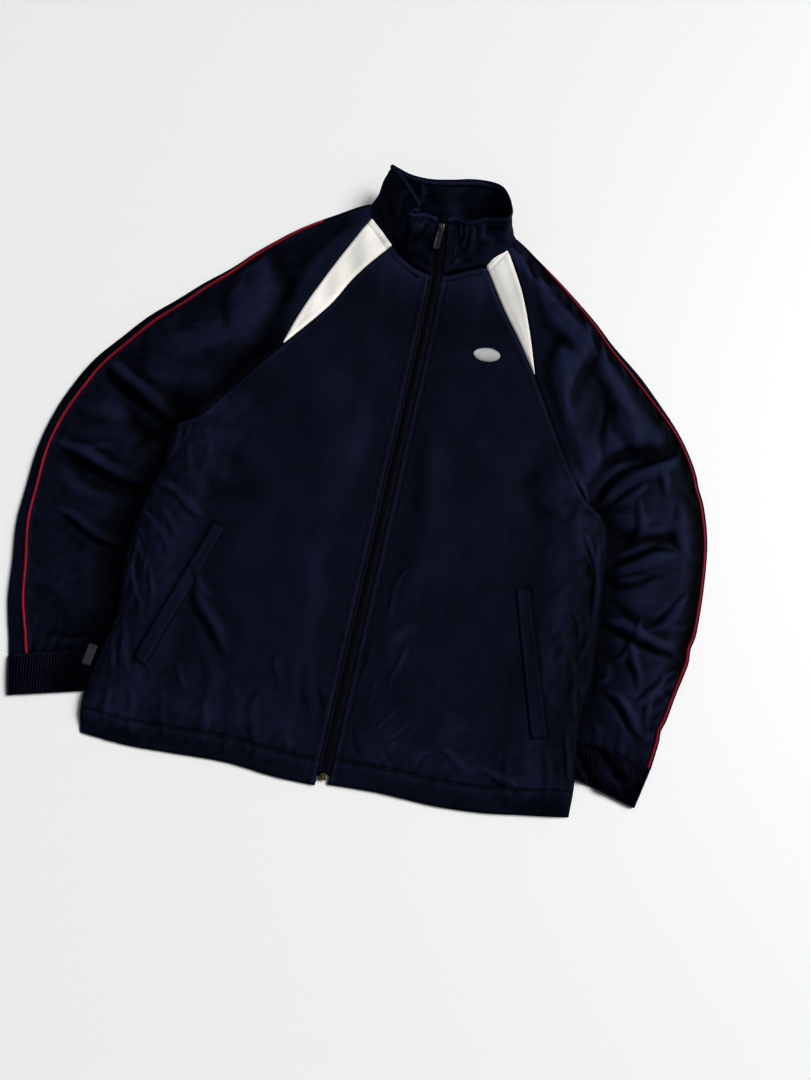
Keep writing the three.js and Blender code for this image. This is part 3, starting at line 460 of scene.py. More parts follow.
class Layers:
    """Heights of the jacket's layers as it lies, in millimetres."""

    slack = Waves(SEED, 30, 140, 1.5, 1.9)
    crumple = Waves(SEED + 1, 9, 26, 1.7, 1.2)

    @staticmethod
    def fold_x(side: Side, y: Array) -> Array:
        """Where a side fold lies at a height along the jacket."""
        return np.interp(y, SIDE_FOLD[side]["y"], SIDE_FOLD[side]["x"])

    @classmethod
    def lower(cls, x: Array, y: Array) -> Array:
        """The back panel's middle surface: flat, and lifted over the sleeves along both sides.

        Args:
            x: Plan places.
            y: Plan places.

        Returns:
            Heights in the places' shape.
        """
        total = np.full_like(x, GROUND)
        for side, here in ((Side.RIGHT, x < 0), (Side.LEFT, x >= 0)):
            inside = np.abs(x - cls.fold_x(side, y))
            underarm, hem = SIDE_FOLD[side]["y"][-1], SIDE_FOLD[side]["y"][0]
            over = (1 - ramp(y, underarm + 15, underarm + 80)) * ramp(y, hem, hem + 34)
            total += here * BODY_LIFT * (1 - ramp(inside, LIFT_FLAT, LIFT_END)) * over
        return total

    @staticmethod
    def neck_rise(x: Array, y: Array) -> Array:
        """How much the open neck raises the upper layer: a bell round the neck circle."""
        away = np.maximum(np.hypot(x - NECK_CENTRE[0], y - NECK_CENTRE[1]) - NECK_RADIUS, 0)
        return NECK_RISE * bell(away, 48) * np.clip((430 - y) / 60, 0.3, 1)

    @classmethod
    def near_side(cls, x: Array, y: Array) -> Array:
        """How far inside the nearer side fold a place lies, below the underarm."""
        edge = np.where(x < 0, cls.fold_x(Side.RIGHT, y), cls.fold_x(Side.LEFT, y))
        return np.abs(x - edge)

    @classmethod
    def upper(cls, x: Array, y: Array) -> Array:
        """The front's middle surface: the lower layer, air, the neck's rise, slack and creases.

        Args:
            x: Plan places.
            y: Plan places.

        Returns:
            Heights in the places' shape.
        """
        inside = cls.near_side(x, y)
        underarm = np.where(x < 0, SIDE_FOLD[Side.RIGHT]["y"][-1], SIDE_FOLD[Side.LEFT]["y"][-1])
        below = 1 - ramp(y - underarm, 0, 40)
        near = (1 - ramp(inside, 0, 14)) * below
        base = cls.lower(x, y) + LAYER_STEP + BODY_AIR * (1 - near) + cls.neck_rise(x, y)
        free = (1 - (1 - ramp(inside, 0, 40)) * below) * ramp(y, HEM_Y, HEM_Y + 60)
        zip_near = 1 - ramp(np.abs(x + ZIP_MIDDLE), 8, 60)
        middle = np.clip(inside / (inside + np.abs(x + ZIP_MIDDLE) + 1), 0, 1)
        puff = (2.6 + 4.0 * np.sin(np.pi * middle)) * free * (1 - 0.5 * zip_near)
        edges = (1 - ramp(inside, 20, 110)) * below + (1 - ramp(y, HEM_Y, HEM_Y + 130)) * 0.8
        rough = (0.7 * cls.slack.height(x, y) * (0.25 + 0.75 * free)
                 + 0.32 * cls.crumple.height(x, y) * (0.15 + np.minimum(edges, 1)))
        rough *= ramp(np.abs(x + ZIP_MIDDLE), 6, 40)
        return base + puff + rough + creases(x, y, BODY_CREASES) * ramp(inside + 400 * (1 - below), 1, 12)

    @staticmethod
    def zip_x(y: Array) -> Array:
        """The zip's centre line in plan."""
        return -5 + 3 * ramp(y, HEM_Y, 330) - 5.5 * ramp(y, 325, 392)


def normals_of(grid: Array, ring: bool = False) -> Array:
    """Unit normals of a grid: the cross product of its central differences.

    Args:
        grid: Rows × columns × 3 points in millimetres.
        ring: Whether the columns close on themselves.

    Returns:
        One normal a point.
    """
    if ring:
        across = np.roll(grid, -1, 1) - np.roll(grid, 1, 1)
    else:
        across = np.gradient(grid, axis=1)
    normal = np.cross(across, np.gradient(grid, axis=0))
    return normal / np.maximum(np.linalg.norm(normal, axis=2, keepdims=True), 1e-12)


def painted_relief_shade(height: Array, strength: float = 1.0, ring: bool = False) -> Array:
    """Painted light and shade from the relief: crests painted lighter, creases, hollows and stitch lines
    painted darker; its height less two local means, from 0.14 to 1.9.

    The means come from repeated averaging of each grid place with its four neighbours, a few times for
    stitch lines and many times for folds.

    Args:
        height: The grid's heights in millimetres.
        strength: How strongly the shade follows the relief.
        ring: Whether the columns close on themselves.

    Returns:
        A factor for the base colour.
    """
    mean, total = height, np.zeros_like(height)
    for step in range(380):
        padded = np.pad(mean, ((1, 1), (0, 0)), mode="edge")
        padded = np.pad(padded, ((0, 0), (1, 1)), mode="wrap" if ring else "edge")
        mean = (padded[:-2, 1:-1] + padded[2:, 1:-1] + padded[1:-1, :-2] + padded[1:-1, 2:]) / 4
        if step == 9:
            total += 1.5 * (height - mean)
    total = np.where(total > 0, 0.6 * total, total) + 0.15 * (height - mean)
    return np.clip(np.exp(strength * total), 0.14, 1.9)


def mesh_object(name: str, points: Array, faces: list[Array], uv: Array | None = None,
                shade: Array | None = None) -> bpy.types.Object:
    """Makes a smooth-shaded object from points in millimetres and groups of faces.

    Args:
        name: The piece's name.
        points: Vertex positions in millimetres.
        faces: Groups of faces of one size each, as vertex indices with one face a row.
        uv: Places on the cloth for each vertex, in metres.
        shade: A factor for the base colour at each vertex.

    Returns:
        The linked object.
    """
    mesh = bpy.data.meshes.new(name)
    corners = np.concatenate([group.ravel() for group in faces]).astype(np.int32)
    sizes = np.concatenate([np.full(len(group), group.shape[1]) for group in faces]).astype(np.int32)
    mesh.vertices.add(len(points))
    mesh.vertices.foreach_set("co", (points * MM).astype(np.float32).ravel())
    mesh.loops.add(len(corners))
    mesh.loops.foreach_set("vertex_index", corners)
    mesh.polygons.add(len(sizes))
    mesh.polygons.foreach_set("loop_start", (np.cumsum(sizes) - sizes).astype(np.int32))
    mesh.polygons.foreach_set("use_smooth", np.ones(len(sizes), bool))
    if uv is not None:
        layer = mesh.uv_layers.new(name="cloth")
        layer.data.foreach_set("uv", uv[corners].astype(np.float32).ravel())
        values = np.ones(len(points)) if shade is None else shade
        mesh.attributes.new("shade", "FLOAT", "POINT").data.foreach_set("value", values.astype(np.float32))
    mesh.update(calc_edges=True)
    made = bpy.data.objects.new(name, mesh)
    bpy.context.scene.collection.objects.link(made)
    return made


def grid_faces(rows: int, count: int, ring: bool, start: int = 0) -> Array:
    """Quads of a grid of rows × count vertices, wound along its columns then its rows.

    Args:
        rows: Lines of vertices.
        count: Vertices in a line.
        ring: Whether each line closes on itself.
        start: The first vertex's number.

    Returns:
        One quad a row, as vertex numbers.
    """
    j, i = np.meshgrid(np.arange(rows - 1), np.arange(count if ring else count - 1), indexing="ij")
    nxt = (i + 1) % count
    quads = np.stack([j * count + i, j * count + nxt, (j + 1) * count + nxt, (j + 1) * count + i], axis=-1)
    return quads.reshape(-1, 4) + start


def wall(name: str, grid: Array, thickness: float, ring: bool = False,
         shade: Array | None = None) -> bpy.types.Object:
    """A closed cloth wall round a grid of its middle surface, with rounded rims.

    The upper and lower skins are the grid moved half the thickness along its normals; each rim has one
    more line of points, moved out by 0.4 of the thickness.

    Args:
        name: The piece's name.
        grid: Middle surface as rows × columns × 3, in millimetres.
        thickness: The wall's thickness in millimetres.
        ring: Whether the columns close on themselves.
        shade: A painted shade factor for the base colour at each grid place, painted from the relief if left
            out.

    Returns:
        The new object, with a UV map of distances on the cloth.
    """
    rows, count = grid.shape[:2]
    normal = normals_of(grid, ring)
    upper, lower = grid + normal * thickness / 2, grid - normal * thickness / 2
    step_u = np.linalg.norm(np.diff(grid, axis=1), axis=2).mean(0)
    step_v = np.linalg.norm(np.diff(grid, axis=0), axis=2).mean(1)
    place_u = np.concatenate([[0], np.cumsum(step_u)])
    place_v = np.concatenate([[0], np.cumsum(step_v)])
    uv = np.stack(np.broadcast_arrays(place_u[None, :], place_v[:, None]), axis=-1).reshape(-1, 2)
    index = np.arange(rows * count).reshape(rows, count)
    size = rows * count
    if ring:
        rims = [(index[0], grid[0] - grid[1]), (index[-1][::-1], (grid[-1] - grid[-2])[::-1])]
    else:
        edge = np.concatenate([index[0], index[1:, -1], index[-1, -2::-1], index[-2:0:-1, 0]])
        out = np.zeros_like(grid)
        for part, beside in ((np.s_[0, :], np.s_[1, :]), (np.s_[-1, :], np.s_[-2, :]),
                             (np.s_[:, 0], np.s_[:, 1]), (np.s_[:, -1], np.s_[:, -2])):
            away = grid[part] - grid[beside]
            out[part] += away / np.maximum(np.linalg.norm(away, axis=1, keepdims=True), 1e-9)
        rims = [(edge, out.reshape(-1, 3)[edge])]
    tone = (painted_relief_shade(grid[..., 2], ring=ring) if shade is None else shade).ravel()
    points = [upper.reshape(-1, 3), lower.reshape(-1, 3)]
    uvs, tones = [uv, uv], [tone, tone]
    faces = [grid_faces(rows, count, ring), grid_faces(rows, count, ring, size)[:, ::-1]]
    start = 2 * size
    for edge, out in rims:
        out = out / np.maximum(np.linalg.norm(out, axis=1, keepdims=True), 1e-9)
        points.append(grid.reshape(-1, 3)[edge] + out * thickness * 0.4)
        uvs.append(uv[edge])
        # Rims painted darker than the skins, as painted shade where the cloth turns under.
        tones.append(tone[edge] * 0.7)
        middle = np.arange(len(edge)) + start
        nxt, middle_next = np.roll(edge, -1), np.roll(middle, -1)
        faces.append(np.stack([edge, middle, middle_next, nxt], axis=1))
        faces.append(np.stack([middle, edge + size, nxt + size, middle_next], axis=1))
        start += len(edge)
    return mesh_object(name, np.vstack(points), faces, np.vstack(uvs) * MM, np.concatenate(tones))


def rod(path: Array, radius: float, sides: int = 10) -> Array:
    """Rings of a round bar along a path: a circle at each point, across the path.

    Args:
        path: Centre line in millimetres.
        radius: The bar's radius.
        sides: Sides of the section.

    Returns:
        Stations × sides × 3 points.
    """
    run = np.gradient(path, axis=0)
    run /= np.linalg.norm(run, axis=1, keepdims=True)
    flat = np.cross(run, (0.0, 0.0, 1.0))
    flat /= np.linalg.norm(flat, axis=1, keepdims=True)
    over = np.cross(run, flat)
    angle = np.linspace(0, 2 * np.pi, sides, endpoint=False)
    return path[:, None] + radius * (np.cos(angle)[None, :, None] * flat[:, None]
                                     + np.sin(angle)[None, :, None] * over[:, None])


def sections(run: Array, half_width: Array, half_depth: Array, power: float = 0.4, sides: int = 28) -> Array:
    """Rounded-box sections along the second axis: x = w·|sin a|^p and z = h·|cos a|^p, each signed.

    Args:
        run: Where each section stands.
        half_width: Its half width w.
        half_depth: Its half depth h.
        power: The exponent p; less is squarer.
        sides: Points round a section.

    Returns:
        Stations × sides × 3 points in the body's own axes.
    """
    angle = np.linspace(0, 2 * np.pi, sides, endpoint=False)
    across, away = (np.sign(wave) * np.abs(wave) ** power for wave in (np.sin(angle), np.cos(angle)))
    return np.stack(np.broadcast_arrays(half_width[:, None] * across[None], run[:, None],
                                        half_depth[:, None] * away[None]), axis=-1)


def joined(name: str, *bodies: Array) -> bpy.types.Object:
    """One piece made of closed bodies, each through rings of points and fanned shut at both ends.

    Args:
        name: The piece's name.
        bodies: For each body its rings, as stations × sides × 3 in millimetres.

    Returns:
        The new object.
    """
    points, faces, uvs, start = [], [], [], 0
    for rings in bodies:
        rows, sides = rings.shape[:2]
        middle = rings.mean(1)
        length = np.concatenate([[0], np.cumsum(np.linalg.norm(np.diff(middle, axis=0), axis=1))])
        around = np.linspace(0, 4 * np.pi, sides, endpoint=False)
        uv = np.stack(np.broadcast_arrays(around[None], length[:, None]), axis=-1).reshape(-1, 2)
        first = np.arange(sides) + start
        last = first + (rows - 1) * sides
        poles = np.full((2, sides), [[rows * sides], [rows * sides + 1]]) + start
        faces.append(grid_faces(rows, sides, True, start))
        faces.append(np.stack([poles[0], np.roll(first, -1), first], axis=1))
        faces.append(np.stack([poles[1], last, np.roll(last, -1)], axis=1))
        points.append(np.vstack([rings.reshape(-1, 3), middle[:1], middle[-1:]]))
        uvs.append(np.vstack([uv, uv[:1], uv[-1:]]))
        start += rows * sides + 2
    return mesh_object(name, np.vstack(points), faces, np.vstack(uvs) * MM)


def repeated(name: str, shape: Array, faces: Array, centres: Array, axes: Array) -> bpy.types.Object:
    """Many copies of one small shape, joined: each vertex is the centre plus the axes times the shape.

    Args:
        name: The piece's name.
        shape: The small shape's points in its own axes, in millimetres.
        faces: Its faces.
        centres: One centre a copy.
        axes: For each copy its three axes as rows.

    Returns:
        The joined object.
    """
    points = centres[:, None, :] + np.einsum("sk,nkd->nsd", shape, axes)
    offsets = (np.arange(len(centres)) * len(shape))[:, None, None]
    return mesh_object(name, points.reshape(-1, 3), [(faces[None] + offsets).reshape(-1, faces.shape[1])])


def bead(sides: int = 6, rings: int = 4) -> tuple[Array, Array]:
    """A closed unit bead along its first axis, from −1 to 1: rings of a half circle's radii.

    Args:
        sides: Points round a ring.
        rings: How many rings.

    Returns:
        The points and the faces.
    """
    angle = np.linspace(0, np.pi, rings)
    turn = np.linspace(0, 2 * np.pi, sides, endpoint=False)
    radius = np.maximum(np.sin(angle), 0.12)
    points = np.stack(np.broadcast_arrays(-np.cos(angle)[:, None], radius[:, None] * np.cos(turn)[None],
                                          radius[:, None] * np.sin(turn)[None]), axis=-1).reshape(-1, 3)
    fans = np.array([[0, k, k + 1, k + 2] for k in range(1, sides - 2, 2)])
    return points, np.vstack([grid_faces(rings, sides, True), fans[:, ::-1], fans + (rings - 1) * sides])


@dataclass(frozen=True)
class Finish:
    """A material's plain values, and how its cloth is woven.

    Attributes:
        name: The material's name.
        colour: Base colour, linear.
        second: The colour that the base varies to.
        roughness: Mean roughness.
        spread: How much roughness varies.
        grain: Size of the weave in millimetres.
        relief: Depth of the weave's bump in millimetres.
        metallic: 1 for metal.
        sheen: Sheen weight.
        specular: Specular level, where 0.5 is a plain gloss.
        slot: The record's slot; not used.
    """

    name: str
    colour: tuple[float, float, float]
    second: tuple[float, float, float]
    roughness: float
    spread: float
    grain: float
    relief: float
    metallic: float
    sheen: float
    specular: float
    slot: str


NAVY = Finish("navy_tricot", (0.0084, 0.0112, 0.0275), (0.0060, 0.0080, 0.0196), 0.56, 0.05, 0.9, 0.05, 0, 0,
              0.018, "navy_cloth")
WHITE = Finish("white_tricot", (0.86, 0.85, 0.82), (0.78, 0.77, 0.735), 0.5, 0.06, 0.9, 0.06, 0, 0.1, 0.3,
               "white_cloth")
RED = Finish("red_piping", (0.25, 0.011, 0.028), (0.17, 0.007, 0.018), 0.5, 0.08, 0.8, 0.06, 0, 0.05, 0.12,
             "red_piping")
RIB = Finish("rib_knit", (0.0100, 0.0120, 0.0290), (0.0070, 0.0084, 0.0205), 0.6, 0.06, 1.1, 0.12, 0, 0,
              0.012, "rib_knit")
TAPE = Finish("zip_tape", (0.0030, 0.0034, 0.0080), (0.0020, 0.0022, 0.0052), 0.6, 0.08, 0.7, 0.1, 0, 0.02,
              0.06, "zip_tape")
COIL = Finish("zip_coil", (0.0085, 0.0092, 0.0160), (0.0050, 0.0056, 0.0100), 0.5, 0.08, 0.6, 0.02, 0, 0.0,
              0.07, "zip_coil")
THREAD = Finish("navy_thread", (0.022, 0.026, 0.056), (0.015, 0.018, 0.040), 0.4, 0.08, 0.3, 0.03, 0, 0.03,
                0.3, "navy_cloth")
PALE_THREAD = Finish("pale_thread", (0.60, 0.58, 0.53), (0.50, 0.48, 0.43), 0.45, 0.08, 0.3, 0.03, 0, 0.1,
                     0.3, "white_cloth")
METAL = Finish("gunmetal", (0.22, 0.22, 0.235), (0.10, 0.10, 0.11), 0.30, 0.10, 0.5, 0.01, 1, 0.0, 0.5,
               "gunmetal")
BRASS = Finish("antique_brass", (0.30, 0.225, 0.12), (0.13, 0.095, 0.05), 0.38, 0.14, 0.8, 0.02, 1, 0.0,
               0.5, "brass")
SILVER = Finish("silver_tab", (0.050, 0.052, 0.058), (0.022, 0.023, 0.027), 0.5, 0.1, 0.7, 0.08, 0, 0.0, 0.2,
                "silver_tab")
SATIN = Finish("satin_stitch", (0.60, 0.60, 0.62), (0.46, 0.46, 0.48), 0.36, 0.06, 0.4, 0.02, 0, 0.05, 0.3,
               "silver_tab")


def add_node(tree: bpy.types.NodeTree, kind: str, values: dict | None = None,
             **settings: str) -> bpy.types.Node:
    """Adds a shader node.

    Args:
        tree: The tree that it goes into.
        kind: Its type, without the first word that all shader nodes share.
        values: Plain values, by the name or number of the input.
        settings: The node's own settings.

    Returns:
        The new node.
    """
    made = tree.nodes.new(f"ShaderNode{kind}")
    for name, value in settings.items():
        setattr(made, name, value)
    for name, value in (values or {}).items():
        made.inputs[name].default_value = value
    return made


class Dresser:
    """Makes each finish's material once, with a shared group for the weave."""

    def __init__(self) -> None:
        """Builds the shared node group."""
        self.made: dict[str, bpy.types.Material] = {}
        self.group = self.weave_group()

    @staticmethod
    def weave_group() -> bpy.types.NodeTree:
        """The knit's height and a slow mottle: crossed sine bands of the given grain, and noise.

        Returns:
            The group, with Vector and Grain going in, and Height and Mottle coming out.
        """
        tree = bpy.data.node_groups.new("knit_weave", "ShaderNodeTree")
        for name, way, kind in (("Vector", "INPUT", "Vector"), ("Grain", "INPUT", "Float"),
                                ("Height", "OUTPUT", "Float"), ("Mottle", "OUTPUT", "Float")):
            tree.interface.new_socket(name, in_out=way, socket_type=f"NodeSocket{kind}")
        links = tree.links
        start, end = tree.nodes.new("NodeGroupInput"), tree.nodes.new("NodeGroupOutput")
        scale = add_node(tree, "Math", {0: 1.0 / MM}, operation="DIVIDE")
        links.new(start.outputs["Grain"], scale.inputs[1])
        moved = add_node(tree, "VectorMath", operation="SCALE")
        links.new(start.outputs["Vector"], moved.inputs[0])
        links.new(scale.outputs[0], moved.inputs["Scale"])
        both = add_node(tree, "Math", operation="MULTIPLY")
        for place, (direction, weight) in enumerate((("X", 1.0), ("Y", 0.55))):
            wave = add_node(tree, "TexWave", {"Scale": 0.32 * weight, "Distortion": 0.6, "Detail": 1.0},
                            bands_direction=direction)
            links.new(moved.outputs[0], wave.inputs["Vector"])
            links.new(wave.outputs["Fac"], both.inputs[place])
        links.new(both.outputs[0], end.inputs["Height"])
        noise = add_node(tree, "TexNoise", {"Scale": 26.0, "Detail": 5.0, "Roughness": 0.6})
        links.new(start.outputs["Vector"], noise.inputs["Vector"])
        links.new(noise.outputs["Fac"], end.inputs["Mottle"])
        return tree

    def material(self, finish: Finish, on_cloth: bool = True) -> bpy.types.Material:
        """The material of a finish.

        Args:
            finish: The finish.
            on_cloth: Whether the weave follows the piece's own UV map.

        Returns:
            The material, made on first use.
        """
        key = f"{finish.name}_{'cloth' if on_cloth else 'solid'}"
        if key in self.made:
            return self.made[key]
        made = bpy.data.materials.new(key)
        made.use_nodes = True
        tree, links = made.node_tree, made.node_tree.links
        shader = tree.nodes["Principled BSDF"]
        place, weave = add_node(tree, "TexCoord"), add_node(tree, "Group")
        weave.node_tree = self.group
        weave.inputs["Grain"].default_value = finish.grain
        links.new(place.outputs["UV" if on_cloth else "Object"], weave.inputs["Vector"])
        blend = add_node(tree, "Mix", {"A": (*finish.colour, 1), "B": (*finish.second, 1)}, data_type="RGBA")
        spread = add_node(tree, "MapRange", {"From Min": 0.35, "From Max": 0.7})
        links.new(weave.outputs["Mottle"], spread.inputs["Value"])
        links.new(spread.outputs["Result"], blend.inputs["Factor"])
        colour = blend.outputs["Result"]
        if on_cloth:
            shade = add_node(tree, "Attribute", attribute_name="shade")
            shaded = add_node(tree, "VectorMath", operation="SCALE")
            links.new(colour, shaded.inputs[0])
            links.new(shade.outputs["Fac"], shaded.inputs["Scale"])
            colour = shaded.outputs[0]
        links.new(colour, shader.inputs["Base Color"])
        rough = add_node(tree, "MapRange", {"To Min": finish.roughness - finish.spread,
                                            "To Max": finish.roughness + finish.spread})
        links.new(weave.outputs["Mottle"], rough.inputs["Value"])
        links.new(rough.outputs["Result"], shader.inputs["Roughness"])
        bump = add_node(tree, "Bump", {"Distance": finish.relief * MM, "Strength": 0.8})
        links.new(weave.outputs["Height"], bump.inputs["Height"])
        links.new(bump.outputs["Normal"], shader.inputs["Normal"])
        shader.inputs["Metallic"].default_value = finish.metallic
        shader.inputs["Specular IOR Level"].default_value = finish.specular
        if finish.sheen:
            shader.inputs["Sheen Weight"].default_value = finish.sheen
            shader.inputs["Sheen Roughness"].default_value = 0.35
            tint = tuple(min(1.0, 0.35 + 6 * c) for c in finish.colour)
            shader.inputs["Sheen Tint"].default_value = (*tint, 1)
        self.made[key] = made
        return made


def dress(made: bpy.types.Object, finish: Finish, dresser: Dresser, *nodes: str, body: str = GARMENT,
          on_cloth: bool = True) -> bpy.types.Object:
    """Gives a piece its material and body, and hides the CAD nodes that it stands for.

    Args:
        made: The piece.
        finish: Its finish.
        dresser: What makes the materials.
        nodes: The CAD nodes that it stands for.
        body: The body that it rides on.
        on_cloth: Whether its weave follows its own UV map.

    Returns:
        The same piece.
    """
    made.data.materials.clear()
    made.data.materials.append(dresser.material(finish, on_cloth))
    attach(made, body)
    if nodes:
        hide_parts(*nodes)
    LOG.info("%s: %d vertices", made.name, len(made.data.vertices))
    return made


def cut_size(grid: Array, strip: bool) -> tuple[float, float]:
    """The cloth's flat size in metres: a strip's own lengths, or the smallest rectangle round a plan.

    Args:
        grid: Rows × columns × 3 points in millimetres.
        strip: Whether the cut is a strip that was rolled up.

    Returns:
        Width and length.
    """
    if strip:
        return (float(np.linalg.norm(np.diff(grid, axis=1), axis=2).sum(1).max()) * MM,
                float(np.linalg.norm(np.diff(grid, axis=0), axis=2).sum(0).max()) * MM)
    angle = np.linspace(0, np.pi / 2, 90, endpoint=False)[:, None]
    x, y = grid[..., 0].ravel(), grid[..., 1].ravel()
    wide = np.ptp(x * np.cos(angle) + y * np.sin(angle), axis=1)
    high = np.ptp(y * np.cos(angle) - x * np.sin(angle), axis=1)
    best = (wide * high).argmin()
    return float(wide[best]) * MM, float(high[best]) * MM


def lay_sheet(grid: Array, strip: bool = False,
              ring: bool = False) -> None:
    """Works out the flat size of a laid sheet's cut, and does nothing with it.

    Args:
        grid: Its middle surface in millimetres.
        strip: Whether the cut is a strip that was rolled up.
        ring: Whether the grid's columns close on themselves.
    """
    closed = np.concatenate([grid, grid[:, :1]], axis=1) if ring else grid
    width, length = (max(size, 0.0105) for size in cut_size(closed, strip))


def lay_cloth(name: str, grid: Array, finish: Finish, dresser: Dresser, node: str,
              shade: Array | None = None, thickness: float = CLOTH, strip: bool = False,
              ring: bool = False) -> None:
    """Makes a cloth piece from its middle surface, dresses it and works out its cut's size.

    Args:
        name: The piece's name.
        grid: Its middle surface in millimetres.
        finish: Its finish.
        dresser: What makes the materials.
        node: The CAD node that it stands for.
        shade: A factor for the base colour at each grid place.
        thickness: The cloth's thickness in millimetres.
        strip: Whether the cut is a strip that was rolled up.
        ring: Whether the grid's columns close on themselves.
    """
    made = dress(wall(name, grid, thickness, ring, shade), finish, dresser, node)
    lay_sheet(grid, strip, ring)


@dataclass
class Stitching:
    """Runs of topstitching as small beads that lie on the cloth.

    Attributes:
        pitch: From one stitch to the next, in millimetres.
        length: A stitch's length.
        width: Its thickness.
    """

    pitch: float = 3.0
    length: float = 2.3
    width: float = 0.6
    centres: list[Array] = field(default_factory=list)
    axes: list[Array] = field(default_factory=list)

    def run(self, path: Array, over: Array | None = None) -> None:
        """Lays stitches along a path.

        Args:
            path: Points on the cloth's skin, in millimetres.
            over: The cloth's normals there; straight up if left out.
        """
        total = np.linalg.norm(np.diff(path, axis=0), axis=1).sum()
        count = max(int(total / self.pitch), 2)
        shares = (np.arange(count) + 0.5) / count
        spot = at_shares(path, shares)
        ahead = at_shares(path, np.minimum(shares + 0.3 / count, 1)) - at_shares(path, shares - 0.3 / count)
        ahead /= np.linalg.norm(ahead, axis=1, keepdims=True)
        up = np.broadcast_to((0.0, 0.0, 1.0), spot.shape) if over is None else at_shares(over, shares)
        side = np.cross(up, ahead)
        side /= np.linalg.norm(side, axis=1, keepdims=True)
        up = np.cross(ahead, side)
        self.centres.append(spot)
        half = self.width / 2
        self.axes.append(np.stack([ahead * self.length / 2, side * half, up * half], axis=1))

    def build(self, name: str) -> bpy.types.Object:
        """Joins the runs into one piece."""
        shape, faces = bead()
        return repeated(name, shape, faces, np.vstack(self.centres), np.vstack(self.axes))


def on_front(line: Array, lift: float = 0.0) -> Array:
    """A plan line laid on the front panels' skin."""
    height = Layers.upper(line[:, 0], line[:, 1]) + CLOTH / 2 + lift
    return np.column_stack([line[:, :2], height])


